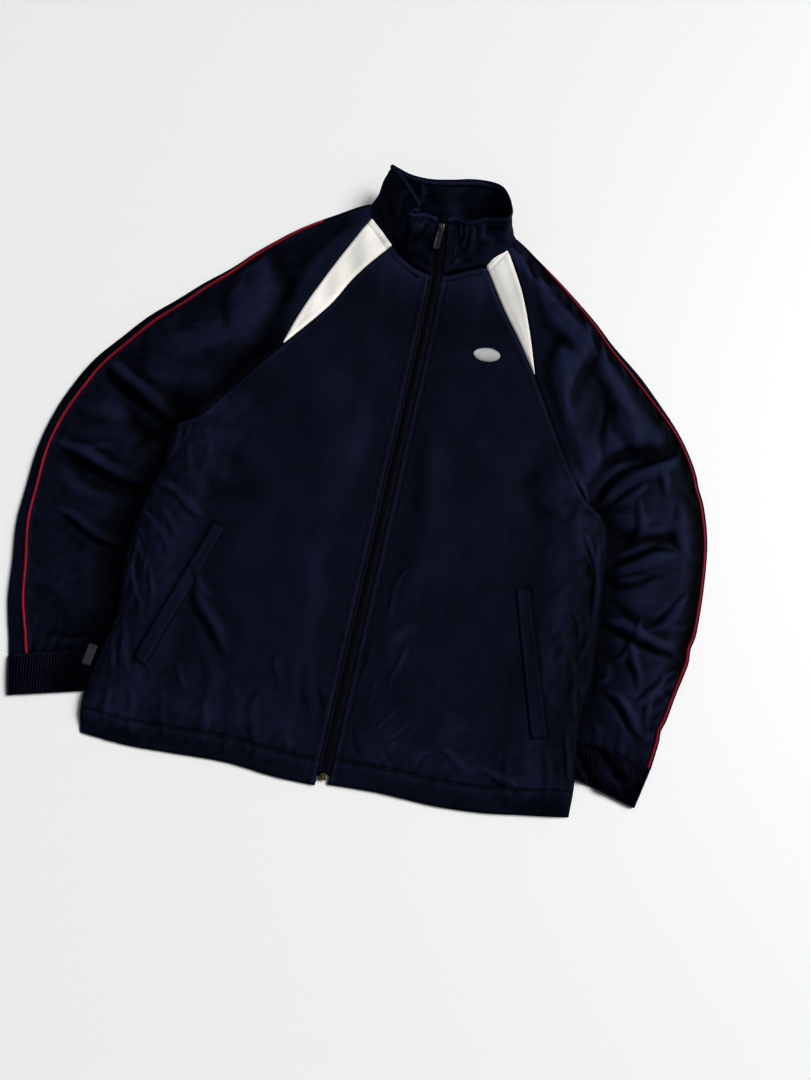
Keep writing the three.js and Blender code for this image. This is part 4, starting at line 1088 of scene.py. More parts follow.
@dataclass
class Body:
    """The back and the two fronts, with their hems, seams and topstitching.

    Attributes:
        columns: Grid lines across a front.
        rows: Grid lines from hem to neck.
        hem_depth: How far the hem is turned up.
        stitch_in: Distance of edge stitching from its seam.
        raglan_columns: How many of the columns end at the raglan seam, the rest at the neck.
    """

    dresser: Dresser
    stitches: Stitching
    columns: int = 156
    rows: int = 222
    hem_depth: float = 28.0
    stitch_in: float = 7.5
    raglan_columns: int = 124

    def top_line(self, side: Side) -> Array:
        """A front's raglan and neck edges in plan, from underarm to zip.

        Args:
            side: The wearer's side.

        Returns:
            Plan points in millimetres, one a row.
        """
        raglan = np.vstack([along(RAGLAN_LOWER[side], 120), along(INSERT_BODY[side], 160)[1:]])
        raglan = shifted(raglan, -side.turn * SEAM_HALF)
        neck = along(NECK_FRONT[side], 60)[1:]
        neck = np.vstack([raglan[-1:], neck])
        rest = self.columns - self.raglan_columns
        return np.vstack([at_shares(raglan, np.linspace(0, 1, self.raglan_columns)),
                          at_shares(neck, np.linspace(0, 1, rest + 1))[1:]])

    def front_grid(self, side: Side) -> Array:
        """A front's middle surface: a Coons grid in plan, raised by the upper layer's height.

        Args:
            side: The wearer's side.

        Returns:
            Rows × columns × 3 points in millimetres.
        """
        top = self.top_line(side)
        bottom = along(HEM[side], self.columns)
        fold = along(SIDE_FOLD[side], self.rows)
        fold[-1] = top[0]
        y = np.linspace(bottom[-1, 1], top[-1, 1], self.rows)
        zip_edge = np.column_stack([Layers.zip_x(y) - side.turn * ZIP_HALF, y])
        bottom[-1], top[-1] = zip_edge[0], zip_edge[-1]
        plan = fill(bottom, top, fold, zip_edge)
        height = Layers.upper(plan[..., 0], plan[..., 1])
        height = height + self.edge_relief(plan, side, top, bottom, zip_edge)
        return np.dstack([plan, height])

    def edge_relief(self, plan: Array, side: Side, top: Array, bottom: Array, zip_edge: Array) -> Array:
        """Seams, turned edges and stitch lines: doubled cloth is a step up, a stitch line a small dip.

        Args:
            plan: The front's plan points.
            side: The wearer's side.
            top: Its top edge.
            bottom: Its hem.
            zip_edge: Its edge by the zip.

        Returns:
            The added height.
        """
        seam, _ = nearest(plan, top[:self.raglan_columns])
        neck, neck_at = nearest(plan, top[self.raglan_columns:])
        hem, hem_at = nearest(plan, bottom)
        band, band_at = nearest(plan, zip_edge)
        relief = -1.6 * bell(seam, 2.4) + 0.5 * bell(seam, 2.5, 5)
        pucker = 0.2 * np.sin(hem_at / 3.4) * bell(hem, 7, self.hem_depth)
        relief += 0.55 * (1 - ramp(hem, self.hem_depth - 1, self.hem_depth + 1.5)) + pucker
        relief -= 1.1 * bell(hem, 2.2, self.hem_depth) + 1.2 * bell(hem, 1.6)
        relief += 0.35 * (1 - ramp(band, self.stitch_in - 1, self.stitch_in + 2))
        relief -= 0.9 * bell(band, 1.7, self.stitch_in) + 1.7 * bell(band, 1.5)
        relief += 0.12 * np.sin(band_at / 3.1) * bell(band, 5, self.stitch_in)
        relief += 0.7 * (1 - ramp(neck, self.stitch_in - 1, self.stitch_in + 2))
        relief -= 1.2 * bell(neck, 2.1, self.stitch_in) + 1.8 * bell(neck, 2.0)
        relief += 0.14 * np.sin(neck_at / 2.7) * bell(neck, 5, self.stitch_in)
        side_in = np.abs(plan[..., 0] - Layers.fold_x(side, plan[..., 1]))
        below = plan[..., 1] < SIDE_FOLD[side]["y"][-1]
        relief -= np.where(below, 1.1 * bell(side_in, 1.6), 0)
        return relief

    @staticmethod
    def welt_shadow(side: Side, grid: Array) -> Array:
        """The front is dark close round a welt, most along its open edge.

        Args:
            side: The wearer's side.
            grid: The front's points.

        Returns:
            A factor for the base colour.
        """
        opened = along(WELT[side], 60, "open_x", "open_y")
        sewn = along(WELT[side], 60, "sewn_x", "sewn_y")
        ring = np.vstack([opened, sewn[::-1], opened[:1]])
        return ((1 - 0.55 * bell(nearest(grid, ring)[0], 2.4))
                * (1 - 0.5 * bell(nearest(grid, opened)[0], 4.5)))

    @staticmethod
    def fold_light(side: Side, grid: Array) -> Array:
        """The turned side fold catches light: a factor above 1 along it, below the underarm.

        Args:
            side: The wearer's side.
            grid: The front's points.

        Returns:
            A factor for the base colour.
        """
        inside = np.abs(grid[..., 0] - Layers.fold_x(side, grid[..., 1]))
        below = 1 - ramp(grid[..., 1], SIDE_FOLD[side]["y"][-1] - 10, SIDE_FOLD[side]["y"][-1] + 10)
        lit = 1 + 0.75 * bell(inside, 3.2) * below
        # On the wearer's left, a painted shade band a little inside the fold, low down.
        if side is Side.LEFT:
            lit = lit * (1 - 0.5 * bell(inside, 20, 24) * (1 - ramp(grid[..., 1], -60, 20)))
        return lit

    def sew_front(self, side: Side) -> None:
        """Builds one front and its topstitching.

        Args:
            side: The wearer's side.
        """
        grid = self.front_grid(side)
        shade = painted_relief_shade(grid[..., 2]) * self.fold_light(side, grid) * self.welt_shadow(side, grid)
        lay_cloth(f"front_panel_{side.value}", grid, NAVY, self.dresser, f"front_{side.value}",
                  shade)
        hem = shifted(along(HEM[side], 300), side.turn * self.hem_depth)
        hem = hem[(np.abs(hem[:, 0] + 4) > ZIP_HALF + 3)]
        self.stitches.run(on_front(hem, 0.05))
        y = np.linspace(HEM_Y + 6, 322, 500)
        edge = np.column_stack([Layers.zip_x(y) - side.turn * (ZIP_HALF + self.stitch_in), y])
        self.stitches.run(on_front(edge, 0.2))
        neck = shifted(along(NECK_FRONT[side], 120), -side.turn * self.stitch_in)
        self.stitches.run(on_front(neck, 0.1))

    def back_grid(self) -> Array:
        """The back's middle surface: a Coons grid in plan at the lower layer's height.

        Returns:
            Rows × columns × 3 points in millimetres.
        """
        count, half = 64, 24
        right = at_shares(shifted(along(RAGLAN_BACK[Side.RIGHT], 200), -SEAM_HALF), np.linspace(0, 1, half))
        left = at_shares(shifted(along(RAGLAN_BACK[Side.LEFT], 200), SEAM_HALF), np.linspace(1, 0, half))
        neck = along(NECK_BACK, count - 2 * half + 2)[1:-1]
        top = np.vstack([right, neck, left])
        bottom = at_shares(np.vstack([along(HEM[Side.RIGHT], 120), along(HEM[Side.LEFT], 120)[::-1]]),
                           np.linspace(0, 1, count))
        bottom[:, 1] += 11 * bell(bottom[:, 0], 42, -5)
        sides = [along(SIDE_FOLD[side], 60) for side in Side]
        sides[0][-1], sides[1][-1] = top[0], top[-1]
        plan = fill(bottom, top, *sides)
        return np.dstack([plan, Layers.lower(plan[..., 0], plan[..., 1])])

    def build(self) -> None:
        """Sews the back, then the fronts over it."""
        lay_cloth("back_panel", self.back_grid(), NAVY, self.dresser, "back")
        for side in Side:
            self.sew_front(side)


@dataclass
class Sleeves:
    """Raglan sleeves in two halves, with the white inserts, piping and rib cuffs.

    Attributes:
        rows: Grid lines from neck to cuff.
        across: Grid lines across a sleeve's front half.
        piping_radius: The piping's radius in millimetres.
        rib_pitch: From one rib to the next on the cuffs.
        rib_thickness: A rib layer's thickness.
        neck_stitch_in: From the neck seam to the stitching across an insert's end.
    """

    dresser: Dresser
    stitches: Stitching
    pale_stitches: Stitching
    rows: int = 240
    across: int = 100
    piping_radius: float = 1.8
    rib_pitch: float = 3.4
    rib_thickness: float = 1.5
    neck_stitch_in: float = 7.5
    slack: Waves = field(default_factory=lambda: Waves(SEED + 4, 26, 100, 1.5, 0.6))
    crumple: Waves = field(default_factory=lambda: Waves(SEED + 5, 10, 24, 1.6, 0.4))

    def lines(self, side: Side) -> dict[str, Array]:
        """Inner and outer folds in plan, the way outwards, the piping's distance in and the depth.

        Args:
            side: The wearer's side.

        Returns:
            The lines by name, each with one point or value a row of the sleeve's grid.
        """
        table = SLEEVE[side]
        shares = np.linspace(0, 1, self.rows)
        inner = along(table, self.rows, "inner_x", "inner_y")
        outer = along(table, self.rows, "outer_x", "outer_y")
        outward = shifted(outer, -side.turn) - outer
        wobble = Waves(SEED + 20 + side.turn, 60, 150, 1, 0).height(shares * 640, shares * 0)
        pulled = 3.2 * np.exp(-shares / 0.02)
        if side is Side.LEFT:
            for place, width, depth in PULLED_IN:
                pulled = pulled + depth * bell(outer[:, 1], width, place)
        outer = outer + outward * (1.7 * wobble * ramp(shares, 0.1, 0.25) - pulled)[:, None]
        spots = np.arange(len(table["piping"]))
        piping = np.interp(shares * spots[-1], spots, table["piping"])
        depth = SLEEVE_DEPTH + (2 * CUFF_TURN + 0.4 - SLEEVE_DEPTH) * ramp(shares, 0.85, 1)
        return {"inner": inner, "outer": outer, "outward": outward, "piping": piping, "depth": depth,
                "shares": shares}

    @staticmethod
    def fan(start: Array, inner: Array, edge: Array, shares_down: Array) -> Array:
        """Rows that follow the raglan seam at the top and run straight from fold to edge lower down.

        Args:
            start: The top row, along the raglan seam.
            inner: The inner fold.
            edge: The outer edge.
            shares_down: Each row's share of the way down.

        Returns:
            Rows × columns × 2 plan points.
        """
        share = shares_of(start)[None, :, None]
        straight_row = inner[:, None] * (1 - share) + edge[:, None] * share
        shaped = (start[None] + (inner - start[0])[:, None] * np.exp(-share / 0.045)
                  + (edge - start[-1])[:, None] * share)
        blend = np.broadcast_to(ramp(shares_down, 0, 0.35)[:, None, None], shaped.shape).copy()
        blend[:, 0], blend[:, -1] = 1, 1
        return shaped * (1 - blend) + straight_row * blend

    @staticmethod
    def clear_of_body(side: Side, plan: Array, start: float, end: float) -> Array:
        """How far out a place is from the body that lies on the sleeve: 0 under it, 1 well clear.

        Args:
            side: The wearer's side.
            plan: Plan points.
            start: The distance where it starts to rise.
            end: The distance where it is 1.

        Returns:
            Shares from 0 to 1.
        """
        table = SIDE_FOLD[side]
        arm = np.array([table["x"][-1], table["y"][-1]])
        out = np.maximum(np.abs(plan[..., 0]) - np.abs(Layers.fold_x(side, plan[..., 1])), 0)
        up = np.maximum(plan[..., 1] - arm[1], 0)
        return ramp(np.hypot(np.where(up > 0, plan[..., 0] - arm[0], out), up * 0.7), start, end)

    def painted_sleeve_shade(self, side: Side, front: Array) -> Array:
        """Painted shade on a sleeve: a painted shadow of the body that lies on it, a broad band on the right
        and a thin one on the left.

        Args:
            side: The wearer's side.
            front: The sleeve front's points.

        Returns:
            A factor for the base colour.
        """
        low, reach = (0.10, 96) if side is Side.RIGHT else (0.26, 28)
        below = 1 - ramp(front[..., 1], SIDE_FOLD[side]["y"][-1], SIDE_FOLD[side]["y"][-1] + 70)
        tone = 1 - (1 - low) * (1 - self.clear_of_body(side, front, 0, reach)) * (0.25 + 0.75 * below)
        if side is Side.RIGHT:
            # On the right, the upper sleeve painted a little darker, and a painted dark valley beside the
            # raglan seam.
            seam, _ = nearest(front, along(RAGLAN_LOWER[side], 80))
            tone = tone * (1 - 0.1 * ramp(front[..., 1], 20, 110))
            tone = tone * (1 - 0.82 * bell(seam, 21, 8) * ramp(front[..., 1], 66, 110))
        else:
            # On the left, the sleeve painted lighter overall, with a painted dark strip inside its outer
            # fold.
            tone = tone * 1.15
            rim = np.linalg.norm(front[..., :2] - front[:, -1:, :2], axis=2)
            tall = ramp(front[..., 1], -150, -90) * (1 - ramp(front[..., 1], 150, 260))
            tone = tone * (1 - 0.88 * bell(rim, 16, 4) * tall)
        return tone

    def front_grid(self, side: Side) -> Array:
        """A sleeve front's middle surface, from the raglan seam's height down to its own.

        Args:
            side: The wearer's side.

        Returns:
            Rows × columns × 3 points in millimetres.
        """
        lines = self.lines(side)
        edge = lines["outer"] - lines["outward"] * (lines["piping"] + SEAM_HALF)[:, None]
        seam = np.vstack([along(RAGLAN_LOWER[side], 120), along(INSERT_SLEEVE[side], 160)[1:]])
        seam = np.vstack([shifted(seam, side.turn * SEAM_HALF), edge[:1]])
        start = at_shares(seam, np.linspace(0, 1, self.across) ** 1.15)
        start[0] = lines["inner"][0]
        plan = self.fan(start, lines["inner"], edge, lines["shares"])
        x, y = plan[..., 0], plan[..., 1]
        spread = self.clear_of_body(side, plan, 3, 50)
        rim = np.linalg.norm(plan - edge[:, None], axis=2)
        low = 1 - ramp(lines["shares"], 0.86, 1)[:, None]
        own = GROUND + LAYER_STEP + (lines["depth"][:, None] - LAYER_STEP) * spread
        puff = 6.8 * spread * ramp(rim, 0, 95 if side is Side.RIGHT else 38) * (0.35 + 0.65 * low)
        free = self.clear_of_body(side, plan, 1, 17) * ramp(rim, 1, 20) * (0.3 + 0.7 * low)
        slack = 0.4 * self.slack.height(x, y) + 0.2 * self.crumple.height(x, y)
        own = own + puff + free * (creases(x, y, SLEEVE_CREASES[side]) + slack)
        own = np.maximum(own, GROUND + LAYER_STEP + 0.06 * (own - GROUND))
        from_arm = np.linalg.norm(plan[:1] - start[0], axis=2)
        seam_height = Layers.upper(x[:1], y[:1]) * ramp(from_arm, 12, 58) + (GROUND + LAYER_STEP) * (
            1 - ramp(from_arm, 12, 58))
        settle = ramp(np.linalg.norm(plan - plan[:1], axis=2), 0, 55)
        height = seam_height * (1 - settle) + own * settle
        seam_gap, _ = nearest(plan, start[:-3])
        height -= 1.3 * bell(seam_gap, 2.2) * ramp(from_arm, 20, 50)
        height -= 1.3 * bell(rim, 1.6)
        height += 0.45 * bell(rim, 2.2, 4)
        down = shares_of(edge)[:, None] * np.linalg.norm(np.diff(edge, axis=0), axis=1).sum()
        wander = self.crumple.height(down * np.ones_like(rim), rim * 0.6)
        gather = 0.3 + (0.5 + 0.9 * ramp(y, 130, 200) if side is Side.LEFT else 0.0)
        height += gather * wander * bell(rim, 8, 8) * ramp(rim, 0, 5)
        cuff = (1 - lines["shares"])[:, None] * 330
        width = np.linalg.norm(plan - plan[:, :1], axis=2)
        height += 0.5 * np.sin(width / 2.3) * np.exp(-cuff / 9) - 0.5 * bell(cuff, 3)
        return np.dstack([plan, height])

    def back_grid(self, side: Side, front: Array) -> Array:
        """A sleeve back's middle surface: flat below, a half circle round the outer fold, a strip on top.

        Args:
            side: The wearer's side.
            front: The sleeve front's points.

        Returns:
            Rows × columns × 3 points in millimetres.
        """
        lines = self.lines(side)
        top = front[:, -1, 2]
        radius = (top - GROUND) / 2
        centre = lines["outer"] - lines["outward"] * radius[:, None]
        seam = np.vstack([shifted(along(RAGLAN_BACK[side], 200), side.turn * SEAM_HALF), centre[:1]])
        start = at_shares(seam, np.linspace(0, 1, 30))
        start[0] = lines["inner"][0]
        plan = self.fan(start, lines["inner"], centre, lines["shares"])
        under = np.dstack([plan, np.full(plan.shape[:2], GROUND)])
        angle = np.pi * (np.linspace(0, 1, 15)[1:] - 0.5)
        away = (radius[:, None] * np.cos(angle)[None])[..., None]
        turn = centre[:, None] + lines["outward"][:, None] * away
        turned = np.dstack([turn, GROUND + radius[:, None] * (1 + np.sin(angle)[None])])
        last = lines["outer"] - lines["outward"] * (lines["piping"] - SEAM_HALF)[:, None]
        share = np.linspace(0, 1, 9)[1:]
        strip = turned[:, -1:, :2] * (1 - share)[None, :, None] + last[:, None] * share[None, :, None]
        gap = np.linalg.norm(strip - last[:, None], axis=2)
        crown = top[:, None] - 0.7 * bell(gap, 1.6) + 0.4 * bell(gap, 2.2, 4)
        return np.concatenate([under, turned, np.dstack([strip, crown])], axis=1)

    def insert_grid(self, side: Side) -> Array:
        """A white insert's middle surface, ruled between its two seams, dipping into each.

        Args:
            side: The wearer's side.

        Returns:
            Rows × columns × 3 points in millimetres.
        """
        body = shifted(along(INSERT_BODY[side], 96), side.turn * SEAM_HALF)
        sleeve = shifted(along(INSERT_SLEEVE[side], 96), -side.turn * SEAM_HALF)
        share = np.linspace(0, 1, 26)[None, :, None]
        plan = body[:, None] * (1 - share) + sleeve[:, None] * share
        plan = plan[2:]
        seams = np.minimum(nearest(plan, body)[0], nearest(plan, sleeve)[0])
        height = Layers.upper(plan[..., 0], plan[..., 1])
        height = height - 1.1 * bell(seams, 1.6)
        neck = nearest(plan, plan[-1])[0]
        height += 0.4 * (1 - ramp(neck, 7.0, 8.6)) - 0.7 * bell(neck, 1.0, 7.8)
        height += 0.5 * np.sin(plan[..., 0] / 9 + plan[..., 1] / 14) * ramp(seams, 2, 12)
        return np.dstack([plan, height])

    def piping_path(self, side: Side, front: Array) -> Array:
        """The piping's centre line: on the seam, and turned over the outer fold near the neck.

        Args:
            side: The wearer's side.
            front: The sleeve front's points.

        Returns:
            The line's points, one a row.
        """
        lines = self.lines(side)
        on_top = front[:, -1].copy()
        on_top[:, 2] += self.piping_radius + 0.5
        hidden = 1 - ramp(lines["shares"], 0.06, 0.115)
        outward = np.column_stack([lines["outward"], np.zeros(self.rows)])
        under = np.column_stack([lines["outer"], np.full(self.rows, GROUND + 1.6)]) - outward * 0.6
        return on_top * (1 - hidden[:, None]) + under * hidden[:, None]

    def cuff_grid(self, side: Side) -> Array:
        """A rib cuff's middle surface: a flat ring whose radius rises and falls with each rib.

        Args:
            side: The wearer's side.

        Returns:
            Rows × columns × 3 points in millimetres.
        """
        table = SLEEVE[side]
        seam = np.array([table[name][-1] for name in ("inner_x", "inner_y", "outer_x", "outer_y")])
        end = np.array(CUFF_END[side], float)
        down = np.linspace(0, 1, 26)
        ends = seam[None] * (1 - down)[:, None] + end[None] * down[:, None]
        inner, outer = ends[:, :2], ends[:, 2:]
        run = outer - inner
        width = np.linalg.norm(run, axis=1)
        run = run / width[:, None]
        ribs = int(round(2 * width.mean() / self.rib_pitch))
        place = np.linspace(0, 1, ribs * 6, endpoint=False)
        half = (np.pi * CUFF_TURN) / (2 * (width.mean() + np.pi * CUFF_TURN))
        phase = (place[None] * np.ones((len(down), 1)))
        flat = np.clip((phase % 0.5) / (0.5 - half), 0, 1)
        angle = np.clip(((phase % 0.5) - (0.5 - half)) / half, 0, 1) * np.pi
        back = phase >= 0.5
        reach = width[:, None] - 2 * CUFF_TURN
        across = CUFF_TURN + np.where(back, 1 - flat, flat) * reach
        across = across + np.where(back, -1, 1) * CUFF_TURN * np.sin(angle)
        rise = np.where(back, 1, -1) * CUFF_TURN * np.cos(angle)
        lean = 0.0 if side is Side.RIGHT else 4.2
        slide = lean * ramp(down, 0.12, 0.8)[:, None] * np.sin(np.pi * np.clip(flat * 1.25, 0, 1))
        wave = np.cos(2 * np.pi * (ribs * place[None] + slide))
        swell = 0.62 * wave + 0.25 * np.sin(down * np.pi)[:, None]
        middle = 0.9 + CUFF_TURN
        plan = inner[:, None] + run[:, None] * across[..., None]
        upper = rise > 0
        height = middle + rise + np.where(upper, 1, 0.2) * swell * np.sign(rise)
        if side is Side.LEFT:
            crumple = creases(plan[..., 0], plan[..., 1], columns(
                CREASE, (278, -232, 318, -282, 4, 5, 4.0, 0.5),
                (296, -222, 352, -262, 3, 6, 3.0, 0.4), (272, -250, 296, -272, 2, 5, 2.4, 0.3),
                (330, -236, 346, -276, -2, 5, 2.0, 0.3)))
            height = height + upper * crumple
        else:
            height = height + upper * 0.8 * np.sin(down * np.pi)[:, None]
        height = height - upper * 0.7 * bell((down * 48)[:, None], 1.6)
        return np.dstack([plan, np.maximum(height, 0.75)])

    def build(self) -> None:
        """Sews both sleeves."""
        for side in Side:
            front = self.front_grid(side)
            shade = painted_relief_shade(front[..., 2]) * self.painted_sleeve_shade(side, front)
            lay_cloth(f"sleeve_top_{side.value}", front, NAVY, self.dresser, f"sleeve_front_{side.value}",
                      shade)
            back = self.back_grid(side, front)
            down = np.linspace(0, 1, self.rows)
            # The sleeve's under half painted darker, as painted shade on its turned strip: most near the top
            # on the right.
            turned = 0.62 if side is Side.LEFT else 0.34 + 0.36 * ramp(down, 0.5, 0.8)
            shade = painted_relief_shade(back[..., 2], 0.5) * (np.ones(self.rows) * turned)[:, None]
            lay_cloth(f"sleeve_under_{side.value}", back, NAVY, self.dresser, f"sleeve_back_{side.value}",
                      shade)
            insert = self.insert_grid(side)
            # Painted shade on the white inserts, far darker on the wearer's left.
            painted_insert_shade = 0.70 if side is Side.LEFT else 0.97
            lay_cloth(f"white_insert_{side.value}", insert, WHITE, self.dresser, f"insert_{side.value}",
                      painted_insert_shade * painted_relief_shade(insert[..., 2], 0.25))
            piping = rod(self.piping_path(side, front), self.piping_radius)
            dress(joined(f"piping_cord_{side.value}", piping), RED, self.dresser, f"piping_{side.value}")
            self.sew_cuff(side)
            ends = np.vstack([along(seam[side], 400)[-1:] for seam in (INSERT_BODY, INSERT_SLEEVE)])
            ends[:, 1] -= self.neck_stitch_in
            self.pale_stitches.run(on_front(at_shares(ends, np.linspace(0.06, 0.94, 20)), 0.1))

    def sew_cuff(self, side: Side) -> None:
        """Builds a rib cuff, darker where its rolled end lies in shadow.

        Args:
            side: The wearer's side.
        """
        cuff = self.cuff_grid(side)
        outward = np.where(np.arange(cuff.shape[1]) < cuff.shape[1] / 2, 1, -1)
        shade = painted_relief_shade(cuff[..., 2] * outward, 2.6, True)
        # Painted shade: the right cuff darker towards the body, the left one darker overall and most round X
        # = 300.
        if side is Side.RIGHT:
            shade = shade * (1 - 0.72 * ramp(cuff[..., 0], -362, -326))
        else:
            shade = shade * (0.8 - 0.45 * bell(cuff[..., 0], 18, 300))
        lay_cloth(f"rib_cuff_{side.value}", cuff, RIB, self.dresser, f"cuff_{side.value}", shade,
                  self.rib_thickness, True, True)


@dataclass
class Collar:
    """The stand collar: one doubled strip, open at the zip, with a pleat at the front.

    Attributes:
        thickness: Both layers together.
        around: Grid lines round the neck.
        up: Grid lines up the collar.
        flare: How far its foot spreads over the shoulders.
        height: From the neck seam to the top edge.
        length: Round the collar from one front edge to the other.
        bow: How far it bows between neck line and top line.
        stitch_in: From the top edge down to its stitching.
    """

    dresser: Dresser
    stitches: Stitching
    thickness: float = 2.3
    around: int = 360
    up: int = 46
    flare: float = 8.5
    height: float = 72.0
    length: float = 560.0
    bow: float = 2.5
    stitch_in: float = 7.0
    slack: Waves = field(default_factory=lambda: Waves(SEED + 9, 16, 70, 1.4, 0.3))

    def grid(self) -> tuple[Array, Array]:
        """The strip's middle surface, bowed from neck line to top line with creases, and its shade.

        Returns:
            The grid's points, and a factor for the base colour at each.
        """
        neck = spline(np.stack([COLLAR["neck_x"], COLLAR["neck_y"], COLLAR["neck_z"]], axis=1), 24)
        top = spline(np.stack([COLLAR["top_x"], COLLAR["top_y"], COLLAR["top_z"]], axis=1), 24)
        picks = np.linspace(0, len(neck) - 1, self.around)
        neck, top = (np.stack([np.interp(picks, np.arange(len(line)), line[:, k]) for k in range(3)], axis=1)
                     for line in (neck, top))
        share = np.linspace(0, 1, self.up)[:, None, None]
        grid = neck[None] * (1 - share) + top[None] * share
        grid[..., 2] += self.bow * np.sin(np.pi * share[..., 0])
        away = neck[:, :2] - np.array(NECK_CENTRE)
        away /= np.linalg.norm(away, axis=1, keepdims=True)
        flare = np.exp(-share[..., 0] * self.height / 9) * ramp(np.abs(neck[:, 0] + 7), 52, 86)[None]
        grid[..., :2] += self.flare * flare[..., None] * away[None]
        grid[..., 2] -= 1.0 * flare
        normal = normals_of(grid)
        around = np.linspace(0, 1, self.around)[None, :]
        rise = share[..., 0] * self.height
        arc = around * self.length * np.ones_like(rise)
        pucker = 0.8 * self.slack.height(arc, rise * 1.6) + 1.5 * creases(arc, rise, COLLAR_CREASES)
        edge = self.height - rise
        stitch = -1.0 * bell(edge, 1.8, self.stitch_in) + 0.5 * bell(edge, 2.4, 3)
        foot = -0.8 * bell(rise, 2.0) + 0.14 * np.sin(arc / 2.4) * bell(edge, 5, self.stitch_in)
        relief = pucker * ramp(rise, 0, 10) * ramp(edge, 0, 5) + stitch + foot
        # Painted highlight along the rolled top edge, painted shade at the foot, and a painted dark patch
        # near the front end at the wearer's right.
        light = 1 + 0.9 * bell(edge, 2.5, 2.5) - 0.5 * bell(rise, 3)
        light = light * (1 - 0.6 * np.exp(-((arc - 52) / 46) ** 2 - ((rise - 34) / 26) ** 2))
        return grid - normal * relief[..., None], painted_relief_shade(relief, 1.3) * light

    def build(self) -> None:
        """Builds the collar and the stitching under its top edge."""
        grid, shade = self.grid()
        lay_cloth("stand_collar", grid, NAVY, self.dresser, "collar",
                  shade, self.thickness, True)
        normal = normals_of(grid)
        row = int(self.up * (1 - self.stitch_in / self.height))
        for way in (1, -1):
            skin = grid[row] + way * normal[row] * (self.thickness / 2 + 0.05)
            self.stitches.run(skin[3:-3], way * normal[row][3:-3])


@dataclass
class Zip:
    """The zip's tapes and its closed, interlocked coil.

    Attributes:
        tooth_pitch: From one turn of the coil to the next.
        tape_thickness: The tape's thickness.
        tape_columns: Grid lines across a tape.
    """

    dresser: Dresser
    tooth_pitch: float = 1.55
    tape_thickness: float = 0.7
    tape_columns: int = 9

    def centre_line(self, count: int) -> Array:
        """The zip's centre on its middle surface: over the body, then up the collar's front edge.

        Args:
            count: How many points.

        Returns:
            The line's points, one a row.
        """
        y = np.linspace(ZIP_START, 325, 400)
        body = np.column_stack([Layers.zip_x(y), y, Layers.upper(Layers.zip_x(y) - 12, y) * 0.5
                                + Layers.upper(Layers.zip_x(y) + 12, y) * 0.5])
        share = np.linspace(0.06, 0.97, 60)
        foot = np.array([COLLAR["neck_x"][0], COLLAR["neck_y"][0], COLLAR["neck_z"][0]])
        head = np.array([COLLAR["top_x"][0], COLLAR["top_y"][0], COLLAR["top_z"][0]])
        climb = foot[None] * (1 - share)[:, None] + head[None] * share[:, None]
        climb[:, 0] = Layers.zip_x(climb[:, 1])
        climb[:, 2] += 2.5 * np.sin(np.pi * share)
        return at_shares(np.vstack([body, climb]), np.linspace(0, 1, count))

    def build(self) -> None:
        """Builds the tapes and the coil."""
        line = self.centre_line(700)
        for side in Side:
            reach = -side.turn * np.linspace(1.2, ZIP_HALF + 1.5, self.tape_columns)
            tape = np.repeat(line[:, None], self.tape_columns, axis=1)
            tape[..., 0] += reach[None]
            tape[..., 2] -= 0.55 + 0.12 * np.cos(np.arange(self.tape_columns) * 2.2)[None]
            woven = 1 + 2.4 * bell(np.abs(reach), 0.8, 4.9)
            shade = np.repeat(woven[None], len(line), axis=0)
            lay_cloth(f"zip_strip_{side.value}", tape, TAPE, self.dresser, f"zip_tape_{side.value}",
                      shade, self.tape_thickness)
        self.build_coil(line)

    def build_coil(self, line: Array) -> None:
        """The closed coil: two rows of rounded teeth that interlock along the centre.

        Args:
            line: The zip's centre line.
        """
        total = np.linalg.norm(np.diff(line, axis=0), axis=1).sum()
        count = int(total / self.tooth_pitch)
        shape, faces = bead(6, 5)
        centres, axes = [], []
        for side, start in ((Side.RIGHT, 0.0), (Side.LEFT, 0.5)):
            shares = (np.arange(count) + 0.25 + start) / count
            spot = at_shares(line, np.clip(shares, 0, 1))
            ahead = (at_shares(line, np.clip(shares + 0.002, 0, 1))
                     - at_shares(line, np.clip(shares - 0.002, 0, 1)))
            ahead /= np.linalg.norm(ahead, axis=1, keepdims=True)
            across = np.cross(ahead, (0.0, 0.0, 1.0))
            across /= np.linalg.norm(across, axis=1, keepdims=True)
            over = np.cross(across, ahead)
            lean = across * 0.97 + ahead * 0.24 * -side.turn
            centres.append(spot - side.turn * across * 1.05 + over * 0.35)
            axes.append(np.stack([lean * 1.9, ahead * 0.5, over * 0.85], axis=1))
        made = repeated("zip_coil_teeth", shape, faces, np.vstack(centres), np.vstack(axes))
        dress(made, COIL, self.dresser, "zip_chain", on_cloth=False)


@dataclass(frozen=True)
class Axes:
    """A part's own axes in the garment: across, along and away from the cloth.

    Attributes:
        origin: Where they meet, in garment millimetres.
        across: The first axis.
        away: The third axis.
    """

    origin: tuple[float, float, float]
    across: tuple[float, float, float]
    away: tuple[float, float, float]

    def place(self, points: Array) -> Array:
        """Points in these axes, turned and moved into the garment."""
        across, away = (np.array(axis) / np.linalg.norm(axis) for axis in (self.across, self.away))
        return np.array(self.origin) + points @ np.stack([across, np.cross(away, across), away])


